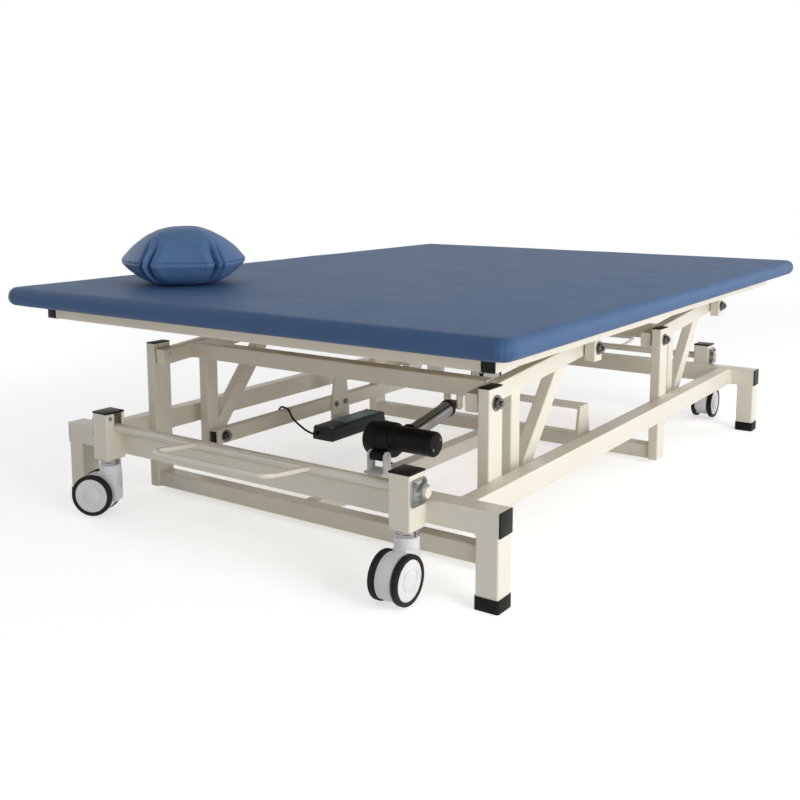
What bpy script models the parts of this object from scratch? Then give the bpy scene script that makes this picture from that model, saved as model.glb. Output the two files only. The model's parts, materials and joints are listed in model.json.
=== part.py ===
"""Electric treatment bed: padded platform on two swing levers, base with retractable casters.

Metres, +Z up, +X to the bed's right, +Y from the pedal end in front to the far end.
The origin is on the floor under the middle of the base.
"""
import math

import bmesh
import bpy
from mathutils import Matrix, Vector
from mathutils.bvhtree import BVHTree

# Fits
GAP = 0.0003              # seat gap between pieces that touch
RUNNING_FIT = 0.0003      # radial clearance of pins, axles and stems
TUBE_CORNER = 0.003       # outside corner radius of the square tubes

# Base: end frames, side beams, post frames
BASE_LENGTH = 1.700
BASE_HALF_WIDTH = 0.620
BEAM = 0.050
BEAM_TOP = 0.197
FOOT_SOLE = 0.008
FOOT_WALL = 0.0017
FOOT_HEIGHT = 0.027
SIDE_BEAM_OUTER = 0.547
SIDE_BEAM_WIDTH = 0.040
POST_SETBACK = 0.160
POST_WIDTH = 0.028
POST_DEPTH = 0.056
POST_TOP = 0.387
LOW_BAR = 0.040
LOW_BAR_BOTTOM = 0.012

# Swing levers and tie rods
PIVOT_HEIGHT = 0.356
LEVER_SPACING = 0.960
LEVER_LENGTH = 0.506
LEVER_RISE = 0.041
LEVER_WIDTH = 0.030
LEVER_DEPTH = 0.040
LEVER_END = 0.022
LEVER_COLLAR = 0.0037
BRACE_FOOT_SETOFF = 0.144
BRACE_HEAD_OFFSET = 0.382
CROSS_TUBE_OFFSET = 0.087
LINK_SETOFF = 0.154
LINK_DROP = 0.238
TIE_WIDTH = 0.030
TIE_HEIGHT = 0.040
TIE_COLLAR = 0.005
TIE_END = 0.032
PIN_RADIUS = 0.008
WASHER_RADIUS = 0.015
WASHER_THICKNESS = 0.003
HEX_RADIUS = 0.0115
HEX_HEIGHT = 0.008
NUT_HEIGHT = 0.0036

# Bridge that the actuator pushes, and the control box on its tray
BRIDGE_OFFSET = 0.491
BRIDGE_PLATE = 0.008
BRIDGE_STRAP_WIDTH = 0.050
BRIDGE_FOOT_WIDTH = 0.082
BRIDGE_RISE = 0.098
TRAY_DROP = 0.062
TRAY_LENGTH = 0.148
TRAY_THICKNESS = 0.004
BOX_WIDTH = 0.074
BOX_LENGTH = 0.260
BOX_HEIGHT = 0.040
BOX_ROUND = 0.006

# Actuator, along its own axis from the rear pin
REAR_PIN_Y = -0.372
REAR_PIN_HEIGHT = 0.096
FRONT_PIN_DROP = 0.053
FRONT_PIN_OFFSET = 0.010
ACTUATOR_PIN = 0.006
EYE_RADIUS = 0.013
REAR_EYE_HALF = 0.0215
FRONT_EYE_HALF = 0.012
EAR_THICKNESS = 0.006
EAR_RADIUS = 0.014
EAR_PLAY = 0.0005
BRACKET_PLATE = 0.005
DRUM_RADIUS = 0.045
DRUM_AHEAD = 0.0557
DRUM_UP = 0.0264
DRUM_LEFT = 0.058
DRUM_RIGHT = 0.026
BARREL_RADIUS = 0.029
BARREL_END = 0.150
MOTOR_RADIUS = 0.033
MOTOR_AHEAD = 0.0416
MOTOR_UP = 0.0381
MOTOR_LENGTH = 0.130
OUTER_TUBE_RADIUS = 0.022
OUTER_TUBE_END = 0.345
END_RING_RADIUS = 0.0245
END_RING_LENGTH = 0.012
ROD_RADIUS = 0.010
ROD_PLAY = 0.0006
ROD_START = 0.157

# Platform
FRAME_HEAD = 0.730        # near bracket to the frame's near end
FRAME_TAIL = 0.052        # far bracket to the frame's far end
FRAME_OUTER = 0.630
FRAME_TUBE_WIDTH = 0.030
FRAME_TUBE_HEIGHT = 0.032
BRACKET_WIDTH = 0.028
BRACKET_DEPTH = 0.042
BRACKET_BELOW_PIN = 0.031
BRACKET_ABOVE_PIN = 0.0695
BOARD_THICKNESS = 0.015
BOARD_INSET = 0.025
PAD_WIDTH = 1.400
PAD_END_OVERHANG = 0.079
PAD_THICKNESS = 0.048
PAD_CORNER = 0.052
PAD_CROWN = 0.003
PILLOW_WIDTH = 0.335
PILLOW_LENGTH = 0.310
PILLOW_HEIGHT = 0.146
PILLOW_SEAM_HEIGHT = 0.058
PILLOW_ROUNDNESS = 2.7    # power of the plan's rounded square
PILLOW_SHOULDER = 0.68    # how far the top's edge is drawn in from the girth
PILLOW_SIDE_INSET = 0.300
PILLOW_END_INSET = 0.315
PILLOW_TURN = math.radians(45)

# Caster posts, pedals and casters
CASTER_INSET = 0.187      # caster post centres in from the beam's ends
CASTER_X = BASE_HALF_WIDTH - CASTER_INSET
CASTER_POST_WIDTH = 0.050
CASTER_POST_DEPTH = 0.054
CASTER_POST_WALL = 0.003
CASTER_POST_BOTTOM = 0.1415
CASTER_POST_TOP = 0.253
GUIDE_THICKNESS = 0.008
SHAFT_RADIUS = 0.011
SHAFT_HEIGHT = 0.217
SHAFT_SETOFF = 0.020
SHAFT_STUB = 0.020
FLANGE_WIDTH = 0.050
FLANGE_HEIGHT = 0.054
FLANGE_THICKNESS = 0.004
FLANGE_BOSS_RADIUS = 0.017
FLANGE_BOSS_LENGTH = 0.009
CAM_RADIUS = 0.014
CAM_OFFSET = 0.014
CAM_WIDTH = 0.032
CAM_PLAY = 0.0006
PEDAL_BAR_RADIUS = 0.0055
PEDAL_LENGTH = 0.135
PEDAL_LIFT = 0.015
PEDAL_WIDTH = 0.328
PEDAL_SHIFT = 0.024
PEDAL_BEND = 0.022
STEM_RADIUS = 0.013
STEM_COLLAR_RADIUS = 0.0245
STEM_COLLAR_HEIGHT = 0.014
STEM_SPIGOT = 0.006
SPIGOT_LENGTH = 0.019
NECK_RADIUS = 0.0255
NECK_TOP = 0.1267
TRAIL = 0.037
WHEEL_RADIUS = 0.050
WHEEL_CLEARANCE = 0.003   # height of the retracted wheel above the floor
FENDER_RADIUS = 0.0475
FENDER_HALF_WIDTH = 0.019
FENDER_SKIRT = 0.018
HUB_RADIUS = 0.041
HUB_PLAY = 0.0008
WHEEL_WIDTH = 0.014
CAP_BULGE = 0.003
AXLE_RADIUS = 0.006

# Leads
LEAD_RADIUS = 0.003

ROUND_SEGMENTS = 20
SMALL_SEGMENTS = 12

# Finishes: colour, roughness, metallic
CREAM_STEEL = ((0.80, 0.78, 0.70), 0.45, 0.0)
ZINC = ((0.62, 0.63, 0.62), 0.38, 1.0)
BLACK_PLASTIC = ((0.02, 0.02, 0.02), 0.45, 0.0)
BLACK_RUBBER = ((0.025, 0.025, 0.025), 0.75, 0.0)
WHITE_PLASTIC = ((0.82, 0.82, 0.84), 0.40, 0.0)
GREY_METAL = ((0.32, 0.32, 0.32), 0.40, 0.6)
BARE_STEEL = ((0.60, 0.60, 0.60), 0.25, 1.0)
BLUE_VINYL = ((0.13, 0.24, 0.45), 0.45, 0.0)
PLYWOOD = ((0.55, 0.42, 0.26), 0.70, 0.0)
DARK_PLASTIC = ((0.07, 0.08, 0.08), 0.50, 0.0)

# Places that several pieces share
BASE_END = BASE_LENGTH / 2
BEAM_BOTTOM = BEAM_TOP - BEAM
POST_OUTER_X = SIDE_BEAM_OUTER - SIDE_BEAM_WIDTH - GAP
POST_INNER_X = POST_OUTER_X - POST_WIDTH
LEVER_OUTER_X = POST_INNER_X - LEVER_COLLAR
LEVER_INNER_X = LEVER_OUTER_X - LEVER_WIDTH
TIE_OUTER_X = LEVER_INNER_X - TIE_COLLAR
TIE_INNER_X = TIE_OUTER_X - TIE_WIDTH
LEVER_ANGLE = math.atan2(LEVER_RISE, LEVER_LENGTH)
LEVER_ARM = math.hypot(LEVER_RISE, LEVER_LENGTH)
NEAR_PIVOT = Vector((0.0, POST_SETBACK + POST_DEPTH / 2 - BASE_END, PIVOT_HEIGHT))
FAR_STEP = Vector((0.0, LEVER_SPACING, 0.0))
TO_BRACKET = Vector((0.0, LEVER_LENGTH, LEVER_RISE))
TO_LINK = Vector((0.0, LINK_SETOFF, -LINK_DROP))
NEAR_LINK = NEAR_PIVOT + TO_LINK
NEAR_BRACKET = NEAR_PIVOT + TO_BRACKET
BRIDGE_Y = NEAR_LINK.y + BRIDGE_OFFSET
STRAP_TOP = NEAR_LINK.z + BRIDGE_RISE
REAR_PIN = Vector((0.0, REAR_PIN_Y, REAR_PIN_HEIGHT))
FRONT_PIN = Vector((0.0, BRIDGE_Y + FRONT_PIN_OFFSET, STRAP_TOP - FRONT_PIN_DROP))
ACTUATOR_LENGTH = (FRONT_PIN - REAR_PIN).length
ACTUATOR_ANGLE = math.atan2(FRONT_PIN.z - REAR_PIN.z, FRONT_PIN.y - REAR_PIN.y)
ACTUATOR_FRAME = Matrix.Translation(REAR_PIN) @ Matrix.Rotation(ACTUATOR_ANGLE, 4, "X")
FRAME_LENGTH = FRAME_HEAD + LEVER_SPACING + FRAME_TAIL
FRAME_CENTRE_Y = NEAR_BRACKET.y - FRAME_HEAD + FRAME_LENGTH / 2
PAD_LENGTH = FRAME_LENGTH + 2 * PAD_END_OVERHANG
FRAME_BOTTOM = NEAR_BRACKET.z + BRACKET_ABOVE_PIN
FRAME_TOP = FRAME_BOTTOM + FRAME_TUBE_HEIGHT
PAD_BOTTOM = FRAME_TOP + GAP
PAD_TOP = PAD_BOTTOM + PAD_THICKNESS
SHAFT_END_X = CASTER_X + CASTER_POST_WIDTH / 2 + SHAFT_STUB
CASTER_POST_MIDDLE = BASE_END + GAP + CASTER_POST_DEPTH / 2
AXLE_HEIGHT = WHEEL_RADIUS + WHEEL_CLEARANCE
SIDES = {"left": -1, "right": 1}
ENDS = {"near": -1, "far": 1}
CASTER_TURN = {"near_left": 205, "near_right": 270, "far_left": 70, "far_right": 90}


def clear_scene():
    for item in list(bpy.data.objects):
        bpy.data.objects.remove(item, do_unlink=True)


def new_collection(name):
    collection = bpy.data.collections.new(name)
    bpy.context.scene.collection.children.link(collection)
    return collection


clear_scene()
PARTS = new_collection("electric_treatment_bed")
SCRATCH = new_collection("cutters")


def scratch_object(mesh, label="solid"):
    solid = bpy.data.objects.new(label, mesh)
    solid.hide_render = True
    solid.display_type = "WIRE"
    SCRATCH.objects.link(solid)
    return solid


def solid_from(bm, matrix=None):
    if matrix is not None:
        bmesh.ops.transform(bm, matrix=matrix, verts=bm.verts)
    mesh = bpy.data.meshes.new("solid")
    bm.to_mesh(mesh)
    bm.free()
    return scratch_object(mesh)


def evaluated_mesh(solid):
    bpy.context.view_layer.update()
    graph = bpy.context.evaluated_depsgraph_get()
    return bpy.data.meshes.new_from_object(solid.evaluated_get(graph))


def box(low, high, along=None, corner=TUBE_CORNER, segments=2, matrix=None):
    """A block between two corners; edges along the named axis are rounded, or all for "all"."""
    low = Vector(low)
    high = Vector(high)
    bm = bmesh.new()
    bmesh.ops.create_cube(bm, size=1.0)
    bmesh.ops.scale(bm, vec=high - low, verts=bm.verts)
    bmesh.ops.translate(bm, vec=(low + high) / 2, verts=bm.verts)
    if along is not None:
        chosen = list(bm.edges)
        if along != "all":
            axis = "XYZ".index(along)
            chosen = [e for e in bm.edges if abs((e.verts[0].co - e.verts[1].co)[axis]) > 1e-6]
        bmesh.ops.bevel(bm, geom=chosen, offset=corner, segments=segments, profile=0.5, affect="EDGES")
    return solid_from(bm, matrix)


def plate(outline, x0, x1):
    """A plate of the given (y, z) outline between two X limits."""
    bm = bmesh.new()
    face = bm.faces.new([bm.verts.new((x0, y, z)) for y, z in outline])
    grown = bmesh.ops.extrude_face_region(bm, geom=[face])["geom"]
    moved = [item for item in grown if isinstance(item, bmesh.types.BMVert)]
    bmesh.ops.translate(bm, vec=(x1 - x0, 0.0, 0.0), verts=moved)
    bmesh.ops.recalc_face_normals(bm, faces=bm.faces)
    return solid_from(bm)


def lug_outline(y, z, radius, reach, steps=8):
    """Outline of a lug with a round end about (y, z) and straight sides reaching up, or down, to reach."""
    turn = math.copysign(1, reach - z)
    arc = [math.pi * step / steps for step in range(steps + 1)]
    outline = [(y + radius * math.cos(a), z - turn * radius * math.sin(a)) for a in arc]
    return outline + [(y - radius, reach), (y + radius, reach)]


def rod(start, end, radius, segments=ROUND_SEGMENTS, matrix=None):
    """A round or, with 6 segments, hexagonal bar between two points."""
    start = Vector(start)
    end = Vector(end)
    along = end - start
    bm = bmesh.new()
    bmesh.ops.create_cone(bm, cap_ends=True, segments=segments, radius1=radius, radius2=radius,
                          depth=along.length)
    place = Matrix.Translation((start + end) / 2) @ along.to_track_quat("Z", "Y").to_matrix().to_4x4()
    bmesh.ops.transform(bm, matrix=place, verts=bm.verts)
    return solid_from(bm, matrix)


def turned(profile, matrix=None, closed=False, segments=ROUND_SEGMENTS):
    """A profile of (radius, height) points, top to bottom, turned about Z by a Screw modifier."""
    mesh = bpy.data.meshes.new("profile")
    points = [(radius, 0.0, height) for radius, height in profile]
    edges = [(i, i + 1) for i in range(len(points) - 1)]
    if closed:
        edges.append((len(points) - 1, 0))
    mesh.from_pydata(points, edges, [])
    source = scratch_object(mesh)
    screw = source.modifiers.new("turn", "SCREW")
    screw.steps = segments
    screw.render_steps = segments
    screw.use_merge_vertices = True
    screw.merge_threshold = 0.00001
    bm = bmesh.new()
    bm.from_mesh(evaluated_mesh(source))
    bpy.data.objects.remove(source, do_unlink=True)
    bmesh.ops.remove_doubles(bm, verts=bm.verts, dist=0.00001)
    bmesh.ops.recalc_face_normals(bm, faces=bm.faces)
    return solid_from(bm, matrix)


def bent_bar(points, radius, resolution=2):
    """A round bar along a list of points, made from a bevelled curve with its caps welded."""
    curve = bpy.data.curves.new("bar", "CURVE")
    curve.dimensions = "3D"
    curve.bevel_depth = radius
    curve.bevel_resolution = resolution
    curve.use_fill_caps = True
    spline = curve.splines.new("POLY")
    spline.points.add(len(points) - 1)
    for slot, point in zip(spline.points, points):
        slot.co = (*point, 1.0)
    source = bpy.data.objects.new("bar", curve)
    SCRATCH.objects.link(source)
    bm = bmesh.new()
    bm.from_mesh(evaluated_mesh(source))
    bpy.data.objects.remove(source, do_unlink=True)
    bmesh.ops.remove_doubles(bm, verts=bm.verts, dist=0.00001)
    bmesh.ops.recalc_face_normals(bm, faces=bm.faces)
    return solid_from(bm)


def round_corners(points, radius, steps=4):
    """The same open route with each inner corner replaced by an arc of the given radius."""
    route = [Vector(points[0])]
    for before, corner, after in zip(points, points[1:], points[2:]):
        corner = Vector(corner)
        to_before = (Vector(before) - corner).normalized()
        to_after = (Vector(after) - corner).normalized()
        half = to_before.angle(to_after) / 2
        centre = corner + (to_before + to_after).normalized() * radius / math.sin(half)
        first = corner + to_before * radius / math.tan(half) - centre
        last = corner + to_after * radius / math.tan(half) - centre
        for step in range(steps + 1):
            route.append(centre + radius * first.normalized().slerp(last.normalized(), step / steps))
    route.append(Vector(points[-1]))
    return route


def smooth_route(points, per_span=3):
    """A Catmull-Rom route through the points; its first and last spans stay straight."""
    knots = [Vector(p) for p in points]
    route = [knots[0]]
    for a, b, c, d in zip(knots, knots[1:], knots[2:], knots[3:]):
        for step in range(per_span):
            t = step / per_span
            route.append(0.5 * (2 * b + (c - a) * t + (2 * a - 5 * b + 4 * c - d) * t ** 2
                                + (3 * b - a - 3 * c + d) * t ** 3))
    return route + knots[-2:]


def boolean(solid, tool, operation):
    step = solid.modifiers.new(operation.lower(), "BOOLEAN")
    step.object = tool
    step.operation = operation
    step.solver = "EXACT"


def weld_specks(mesh, reach=0.000005):
    """Merge the points that a cut leaves closer together than a few microns."""
    bm = bmesh.new()
    bm.from_mesh(mesh)
    bmesh.ops.remove_doubles(bm, verts=bm.verts, dist=reach)
    bmesh.ops.dissolve_degenerate(bm, dist=reach, edges=bm.edges)
    bm.to_mesh(mesh)
    bm.free()


def paint(piece, finish):
    colour, roughness, metallic = finish
    material = bpy.data.materials.new(piece.name)
    material.use_nodes = True
    shader = material.node_tree.nodes["Principled BSDF"]
    shader.inputs["Base Color"].default_value = (*colour, 1.0)
    shader.inputs["Roughness"].default_value = roughness
    shader.inputs["Metallic"].default_value = metallic
    piece.data.materials.clear()
    piece.data.materials.append(material)


def axis_empty(name, place, parent=None):
    """An empty on a joint's axis that carries the pieces of one moving body."""
    empty = bpy.data.objects.new(name, None)
    empty.empty_display_size = 0.05
    PARTS.objects.link(empty)
    origin = Vector(place)
    if parent is not None:
        empty.parent = parent
        empty.location = origin - Vector(parent["place"])
    else:
        empty.location = origin
    empty["place"] = origin
    return empty


def piece(name, solids, finish, carrier, cuts=(), place=None):
    """Fuse solids, cut others out, place the result and hang it on its carrier as one named part."""
    body = solids[0]
    for other in solids[1:]:
        boolean(body, other, "UNION")
    for tool in cuts:
        boolean(body, tool, "DIFFERENCE")
    mesh = evaluated_mesh(body)
    for used in (*solids, *cuts):
        bpy.data.objects.remove(used, do_unlink=True)
    weld_specks(mesh)
    mesh.name = name
    if place is not None:
        mesh.transform(place)
    mesh.transform(Matrix.Translation(-Vector(carrier["place"])))
    mesh.shade_smooth()
    mesh.set_sharp_from_angle(angle=math.radians(35))
    part = bpy.data.objects.new(name, mesh)
    part.parent = carrier
    PARTS.objects.link(part)
    paint(part, finish)
    return part


def spread(centre, half):
    return centre - half, centre + half


def pivot_pin(side, y, z, head_x, tail_x):
    """A pivot bolt along X: washer and hex head outside head_x, shank from there to tail_x."""
    outward = math.copysign(1, abs(head_x) - abs(tail_x)) * side
    head = side * abs(head_x)
    tail = side * abs(tail_x)
    washer_end = head + outward * WASHER_THICKNESS
    hex_end = washer_end + outward * HEX_HEIGHT
    sunk = head - outward * GAP
    return [rod((sunk, y, z), (washer_end, y, z), WASHER_RADIUS, SMALL_SEGMENTS),
            rod((washer_end - outward * GAP, y, z), (hex_end, y, z), HEX_RADIUS, 6),
            rod((head, y, z), (tail, y, z), PIN_RADIUS, SMALL_SEGMENTS)]


def end_span(end, inner, outer):
    """Y limits of something between two distances outward from the base's end face."""
    return sorted((end * (BASE_END + inner), end * (BASE_END + outer)))


def make_end_frame(name, end, base):
    y0, y1 = end_span(end, -BEAM, 0.0)
    solids = [box((-BASE_HALF_WIDTH, y0, BEAM_BOTTOM), (BASE_HALF_WIDTH, y1, BEAM_TOP), "X")]
    for side in SIDES.values():
        x0, x1 = sorted((side * (BASE_HALF_WIDTH - BEAM), side * BASE_HALF_WIDTH))
        solids.append(box((x0, y0, FOOT_SOLE + GAP), (x1, y1, BEAM_BOTTOM + BEAM / 2), "Z"))
    piece(name + "_end_frame", solids, CREAM_STEEL, base)


def make_foot(name, end, side, base):
    y0, y1 = end_span(end, -BEAM, 0.0)
    x0, x1 = sorted((side * (BASE_HALF_WIDTH - BEAM), side * BASE_HALF_WIDTH))
    grown = GAP + FOOT_WALL
    cup = box((x0 - grown, y0 - grown, 0.0), (x1 + grown, y1 + grown, FOOT_HEIGHT), "Z", TUBE_CORNER + grown)
    socket = box((x0 - GAP, y0 - GAP, FOOT_SOLE), (x1 + GAP, y1 + GAP, FOOT_HEIGHT + BEAM), "Z",
                 TUBE_CORNER + GAP)
    piece(name + "_foot_cap", [cup], BLACK_RUBBER, base, [socket])


def make_side_beam(name, side, base):
    x0, x1 = sorted((side * (SIDE_BEAM_OUTER - SIDE_BEAM_WIDTH), side * SIDE_BEAM_OUTER))
    y1 = BASE_END - BEAM - GAP
    piece(name + "_side_beam", [box((x0, -y1, BEAM_BOTTOM), (x1, y1, BEAM_TOP), "Y")], CREAM_STEEL, base)


def make_post_frame(name, pivot, base):
    y0, y1 = spread(pivot.y, POST_DEPTH / 2)
    bar0, bar1 = spread(pivot.y, LOW_BAR / 2)
    reach = POST_INNER_X + POST_WIDTH / 2
    solids = [box((-reach, bar0, LOW_BAR_BOTTOM), (reach, bar1, LOW_BAR_BOTTOM + LOW_BAR), "X")]
    for side in SIDES.values():
        x0, x1 = sorted((side * POST_INNER_X, side * POST_OUTER_X))
        solids.append(box((x0, y0, LOW_BAR_BOTTOM), (x1, y1, POST_TOP), "Z"))
        solids += pivot_pin(side, pivot.y, pivot.z, POST_OUTER_X, LEVER_INNER_X - TIE_COLLAR)
        solids.append(rod((side * (POST_INNER_X + GAP), pivot.y, pivot.z),
                          (side * (LEVER_OUTER_X + GAP), pivot.y, pivot.z), WASHER_RADIUS, SMALL_SEGMENTS))
        solids.append(rod((side * (LEVER_INNER_X - GAP), pivot.y, pivot.z),
                          (side * (LEVER_INNER_X - NUT_HEIGHT), pivot.y, pivot.z), HEX_RADIUS, 6))
    piece(name + "_post_frame", solids, CREAM_STEEL, base)


def make_centre_bar(base):
    y0 = NEAR_PIVOT.y + LOW_BAR / 2 + GAP
    y1 = NEAR_PIVOT.y + LEVER_SPACING - LOW_BAR / 2 - GAP
    bar = box((-LOW_BAR / 2, y0, LOW_BAR_BOTTOM), (LOW_BAR / 2, y1, LOW_BAR_BOTTOM + LOW_BAR), "Y")
    piece("centre_low_bar", [bar], CREAM_STEEL, base)


def make_rear_bracket(base):
    seat = LOW_BAR_BOTTOM + LOW_BAR + GAP
    ear0 = REAR_EYE_HALF + EAR_PLAY
    ear1 = ear0 + EAR_THICKNESS
    y0, y1 = spread(REAR_PIN.y, 2 * EAR_RADIUS)
    plate_x = ear1 + 2 * EAR_PLAY
    solids = [box((-plate_x, y0, seat), (plate_x, y1, seat + BRACKET_PLATE))]
    ear = lug_outline(REAR_PIN.y, REAR_PIN.z, EAR_RADIUS, seat + BRACKET_PLATE / 2)
    for side in SIDES.values():
        solids.append(plate(ear, side * ear0, side * ear1))
    pin_end = ear1 + ACTUATOR_PIN
    solids.append(rod((-pin_end, REAR_PIN.y, REAR_PIN.z), (pin_end, REAR_PIN.y, REAR_PIN.z), ACTUATOR_PIN,
                      SMALL_SEGMENTS))
    piece("rear_actuator_bracket", solids, WHITE_PLASTIC, base)


def make_caster_post(name, end, side, base):
    x0, x1 = spread(side * CASTER_X, CASTER_POST_WIDTH / 2)
    y0, y1 = end_span(end, GAP, GAP + CASTER_POST_DEPTH)
    wall = CASTER_POST_WALL
    tube = box((x0, y0, CASTER_POST_BOTTOM), (x1, y1, CASTER_POST_TOP), "Z")
    hollow = box((x0 + wall, y0 + wall, CASTER_POST_BOTTOM + GUIDE_THICKNESS),
                 (x1 - wall, y1 - wall, CASTER_POST_TOP + wall))
    middle_y = end * CASTER_POST_MIDDLE
    stem_hole = rod((side * CASTER_X, middle_y, CASTER_POST_BOTTOM - wall),
                    (side * CASTER_X, middle_y, CASTER_POST_BOTTOM + GUIDE_THICKNESS + wall),
                    STEM_RADIUS + RUNNING_FIT)
    shaft_y = end * (BASE_END + SHAFT_SETOFF)
    bore = SHAFT_RADIUS + RUNNING_FIT
    shaft_hole = rod((side * CASTER_X, shaft_y, SHAFT_HEIGHT), (side * SHAFT_END_X, shaft_y, SHAFT_HEIGHT),
                     bore)
    notch = plate(lug_outline(shaft_y, SHAFT_HEIGHT, bore, CASTER_POST_TOP + wall), 0.0, side * CASTER_X)
    piece(name + "_caster_post", [tube], CREAM_STEEL, base, [hollow, stem_hole, shaft_hole, notch])


def make_flange_bearing(name, end, side, base):
    face = CASTER_X + CASTER_POST_WIDTH / 2 + GAP
    shaft_y = end * (BASE_END + SHAFT_SETOFF)
    y0, y1 = spread(end * CASTER_POST_MIDDLE, FLANGE_WIDTH / 2)
    z0, z1 = spread(SHAFT_HEIGHT, FLANGE_HEIGHT / 2)
    x0, x1 = sorted((side * face, side * (face + FLANGE_THICKNESS)))
    boss_end = side * (face + FLANGE_THICKNESS + FLANGE_BOSS_LENGTH)
    plate = box((x0, y0, z0), (x1, y1, z1), "X", 0.006)
    boss = rod((side * face, shaft_y, SHAFT_HEIGHT), (boss_end, shaft_y, SHAFT_HEIGHT), FLANGE_BOSS_RADIUS)
    bore = rod((0.0, shaft_y, SHAFT_HEIGHT), (2 * boss_end, shaft_y, SHAFT_HEIGHT),
               SHAFT_RADIUS + RUNNING_FIT)
    piece(name + "_flange_bearing", [plate, boss], ZINC, base, [bore])


def make_pedal_shaft(name, end, base):
    shaft_y = end * (BASE_END + SHAFT_SETOFF)
    axis = Vector((0.0, shaft_y, SHAFT_HEIGHT))
    carrier = axis_empty(name + "_pedal_axis", axis, base)
    solids = [rod((-SHAFT_END_X, shaft_y, SHAFT_HEIGHT), (SHAFT_END_X, shaft_y, SHAFT_HEIGHT), SHAFT_RADIUS)]
    for side in SIDES.values():
        x0, x1 = spread(side * CASTER_X, CAM_WIDTH / 2)
        cam_y = shaft_y + end * CAM_OFFSET
        solids.append(rod((x0, cam_y, SHAFT_HEIGHT), (x1, cam_y, SHAFT_HEIGHT), CAM_RADIUS))
    x0, x1 = spread(-end * PEDAL_SHIFT, PEDAL_WIDTH / 2)
    front_y = shaft_y + end * PEDAL_LENGTH
    front_z = SHAFT_HEIGHT + PEDAL_LIFT
    corners = [(x0, shaft_y, SHAFT_HEIGHT), (x0, front_y, front_z), (x1, front_y, front_z),
               (x1, shaft_y, SHAFT_HEIGHT)]
    solids.append(bent_bar(round_corners(corners, PEDAL_BEND), PEDAL_BAR_RADIUS))
    piece(name + "_pedal_shaft", solids, CREAM_STEEL, carrier)


def make_caster(name, end, side, base):
    place = Vector((side * CASTER_X, end * CASTER_POST_MIDDLE, 0.0))
    turn = Matrix.Translation(place) @ Matrix.Rotation(math.radians(CASTER_TURN[name]), 4, "Z")
    stem_carrier = axis_empty(name + "_stem_axis", place, base)
    neck_bottom = AXLE_HEIGHT + WHEEL_RADIUS + HUB_PLAY
    collar_bottom = NECK_TOP + GAP
    stem_top = SHAFT_HEIGHT - CAM_RADIUS - CAM_PLAY
    stem = [(0.0, stem_top), (STEM_RADIUS, stem_top), (STEM_RADIUS, collar_bottom + STEM_COLLAR_HEIGHT),
            (STEM_COLLAR_RADIUS, collar_bottom + STEM_COLLAR_HEIGHT), (STEM_COLLAR_RADIUS, collar_bottom),
            (STEM_SPIGOT, collar_bottom), (STEM_SPIGOT, collar_bottom - SPIGOT_LENGTH),
            (0.0, collar_bottom - SPIGOT_LENGTH)]
    piece(name + "_caster_stem", [turned(stem, Matrix.Translation(place))], BARE_STEEL, stem_carrier)

    swivel = axis_empty(name + "_swivel_axis", place, stem_carrier)
    half = FENDER_HALF_WIDTH
    neck = rod((0, 0, neck_bottom), (0, 0, NECK_TOP), NECK_RADIUS)
    fender = rod((TRAIL, -half, AXLE_HEIGHT), (TRAIL, half, AXLE_HEIGHT), FENDER_RADIUS, 28)
    inside = half - EAR_PLAY
    column = box((-NECK_RADIUS * 0.9, -inside, 2 * FENDER_SKIRT),
                 (TRAIL - 2 * AXLE_RADIUS, inside, neck_bottom + EAR_PLAY))
    reach = TRAIL + FENDER_RADIUS
    skirt = box((-reach, -reach, -FENDER_SKIRT), (2 * reach, reach, FENDER_SKIRT))
    axle_hole = rod((TRAIL, -reach, AXLE_HEIGHT), (TRAIL, reach, AXLE_HEIGHT), AXLE_RADIUS + RUNNING_FIT,
                    SMALL_SEGMENTS)
    spigot_hole = rod((0, 0, collar_bottom - SPIGOT_LENGTH - GAP), (0, 0, NECK_TOP + EAR_PLAY),
                      STEM_SPIGOT + RUNNING_FIT)
    piece(name + "_caster_housing", [neck, fender, column], WHITE_PLASTIC, swivel,
          [skirt, axle_hole, spigot_hole], turn)

    axle = turn @ Vector((TRAIL, 0.0, AXLE_HEIGHT))
    wheel = axis_empty(name + "_wheel_axis", axle, swivel)
    lay = turn @ Matrix.Translation((TRAIL, 0.0, AXLE_HEIGHT)) @ Matrix.Rotation(math.radians(90), 4, "X")
    inner = half + HUB_PLAY
    outer = inner + WHEEL_WIDTH
    half_hub = [(0.0, outer + CAP_BULGE), (HUB_RADIUS * 0.6, outer + CAP_BULGE * 0.6),
                (HUB_RADIUS, outer - CAP_BULGE), (HUB_RADIUS, inner), (AXLE_RADIUS, inner)]
    hub = half_hub + [(radius, -height) for radius, height in reversed(half_hub)]
    piece(name + "_wheel_hub", [turned(hub, lay)], WHITE_PLASTIC, wheel)
    tread_corner = WHEEL_WIDTH / 6
    bore = HUB_RADIUS + GAP
    ring = [(bore, outer - GAP), (WHEEL_RADIUS - tread_corner, outer - GAP),
            (WHEEL_RADIUS, outer - tread_corner), (WHEEL_RADIUS, inner + tread_corner),
            (WHEEL_RADIUS - tread_corner, inner + GAP), (bore, inner + GAP)]
    for label, flip in (("tyre_a", 0), ("tyre_b", 180)):
        facing = lay @ Matrix.Rotation(math.radians(flip), 4, "X")
        piece(name + "_" + label, [turned(ring, facing, closed=True)], BLACK_RUBBER, wheel)


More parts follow.
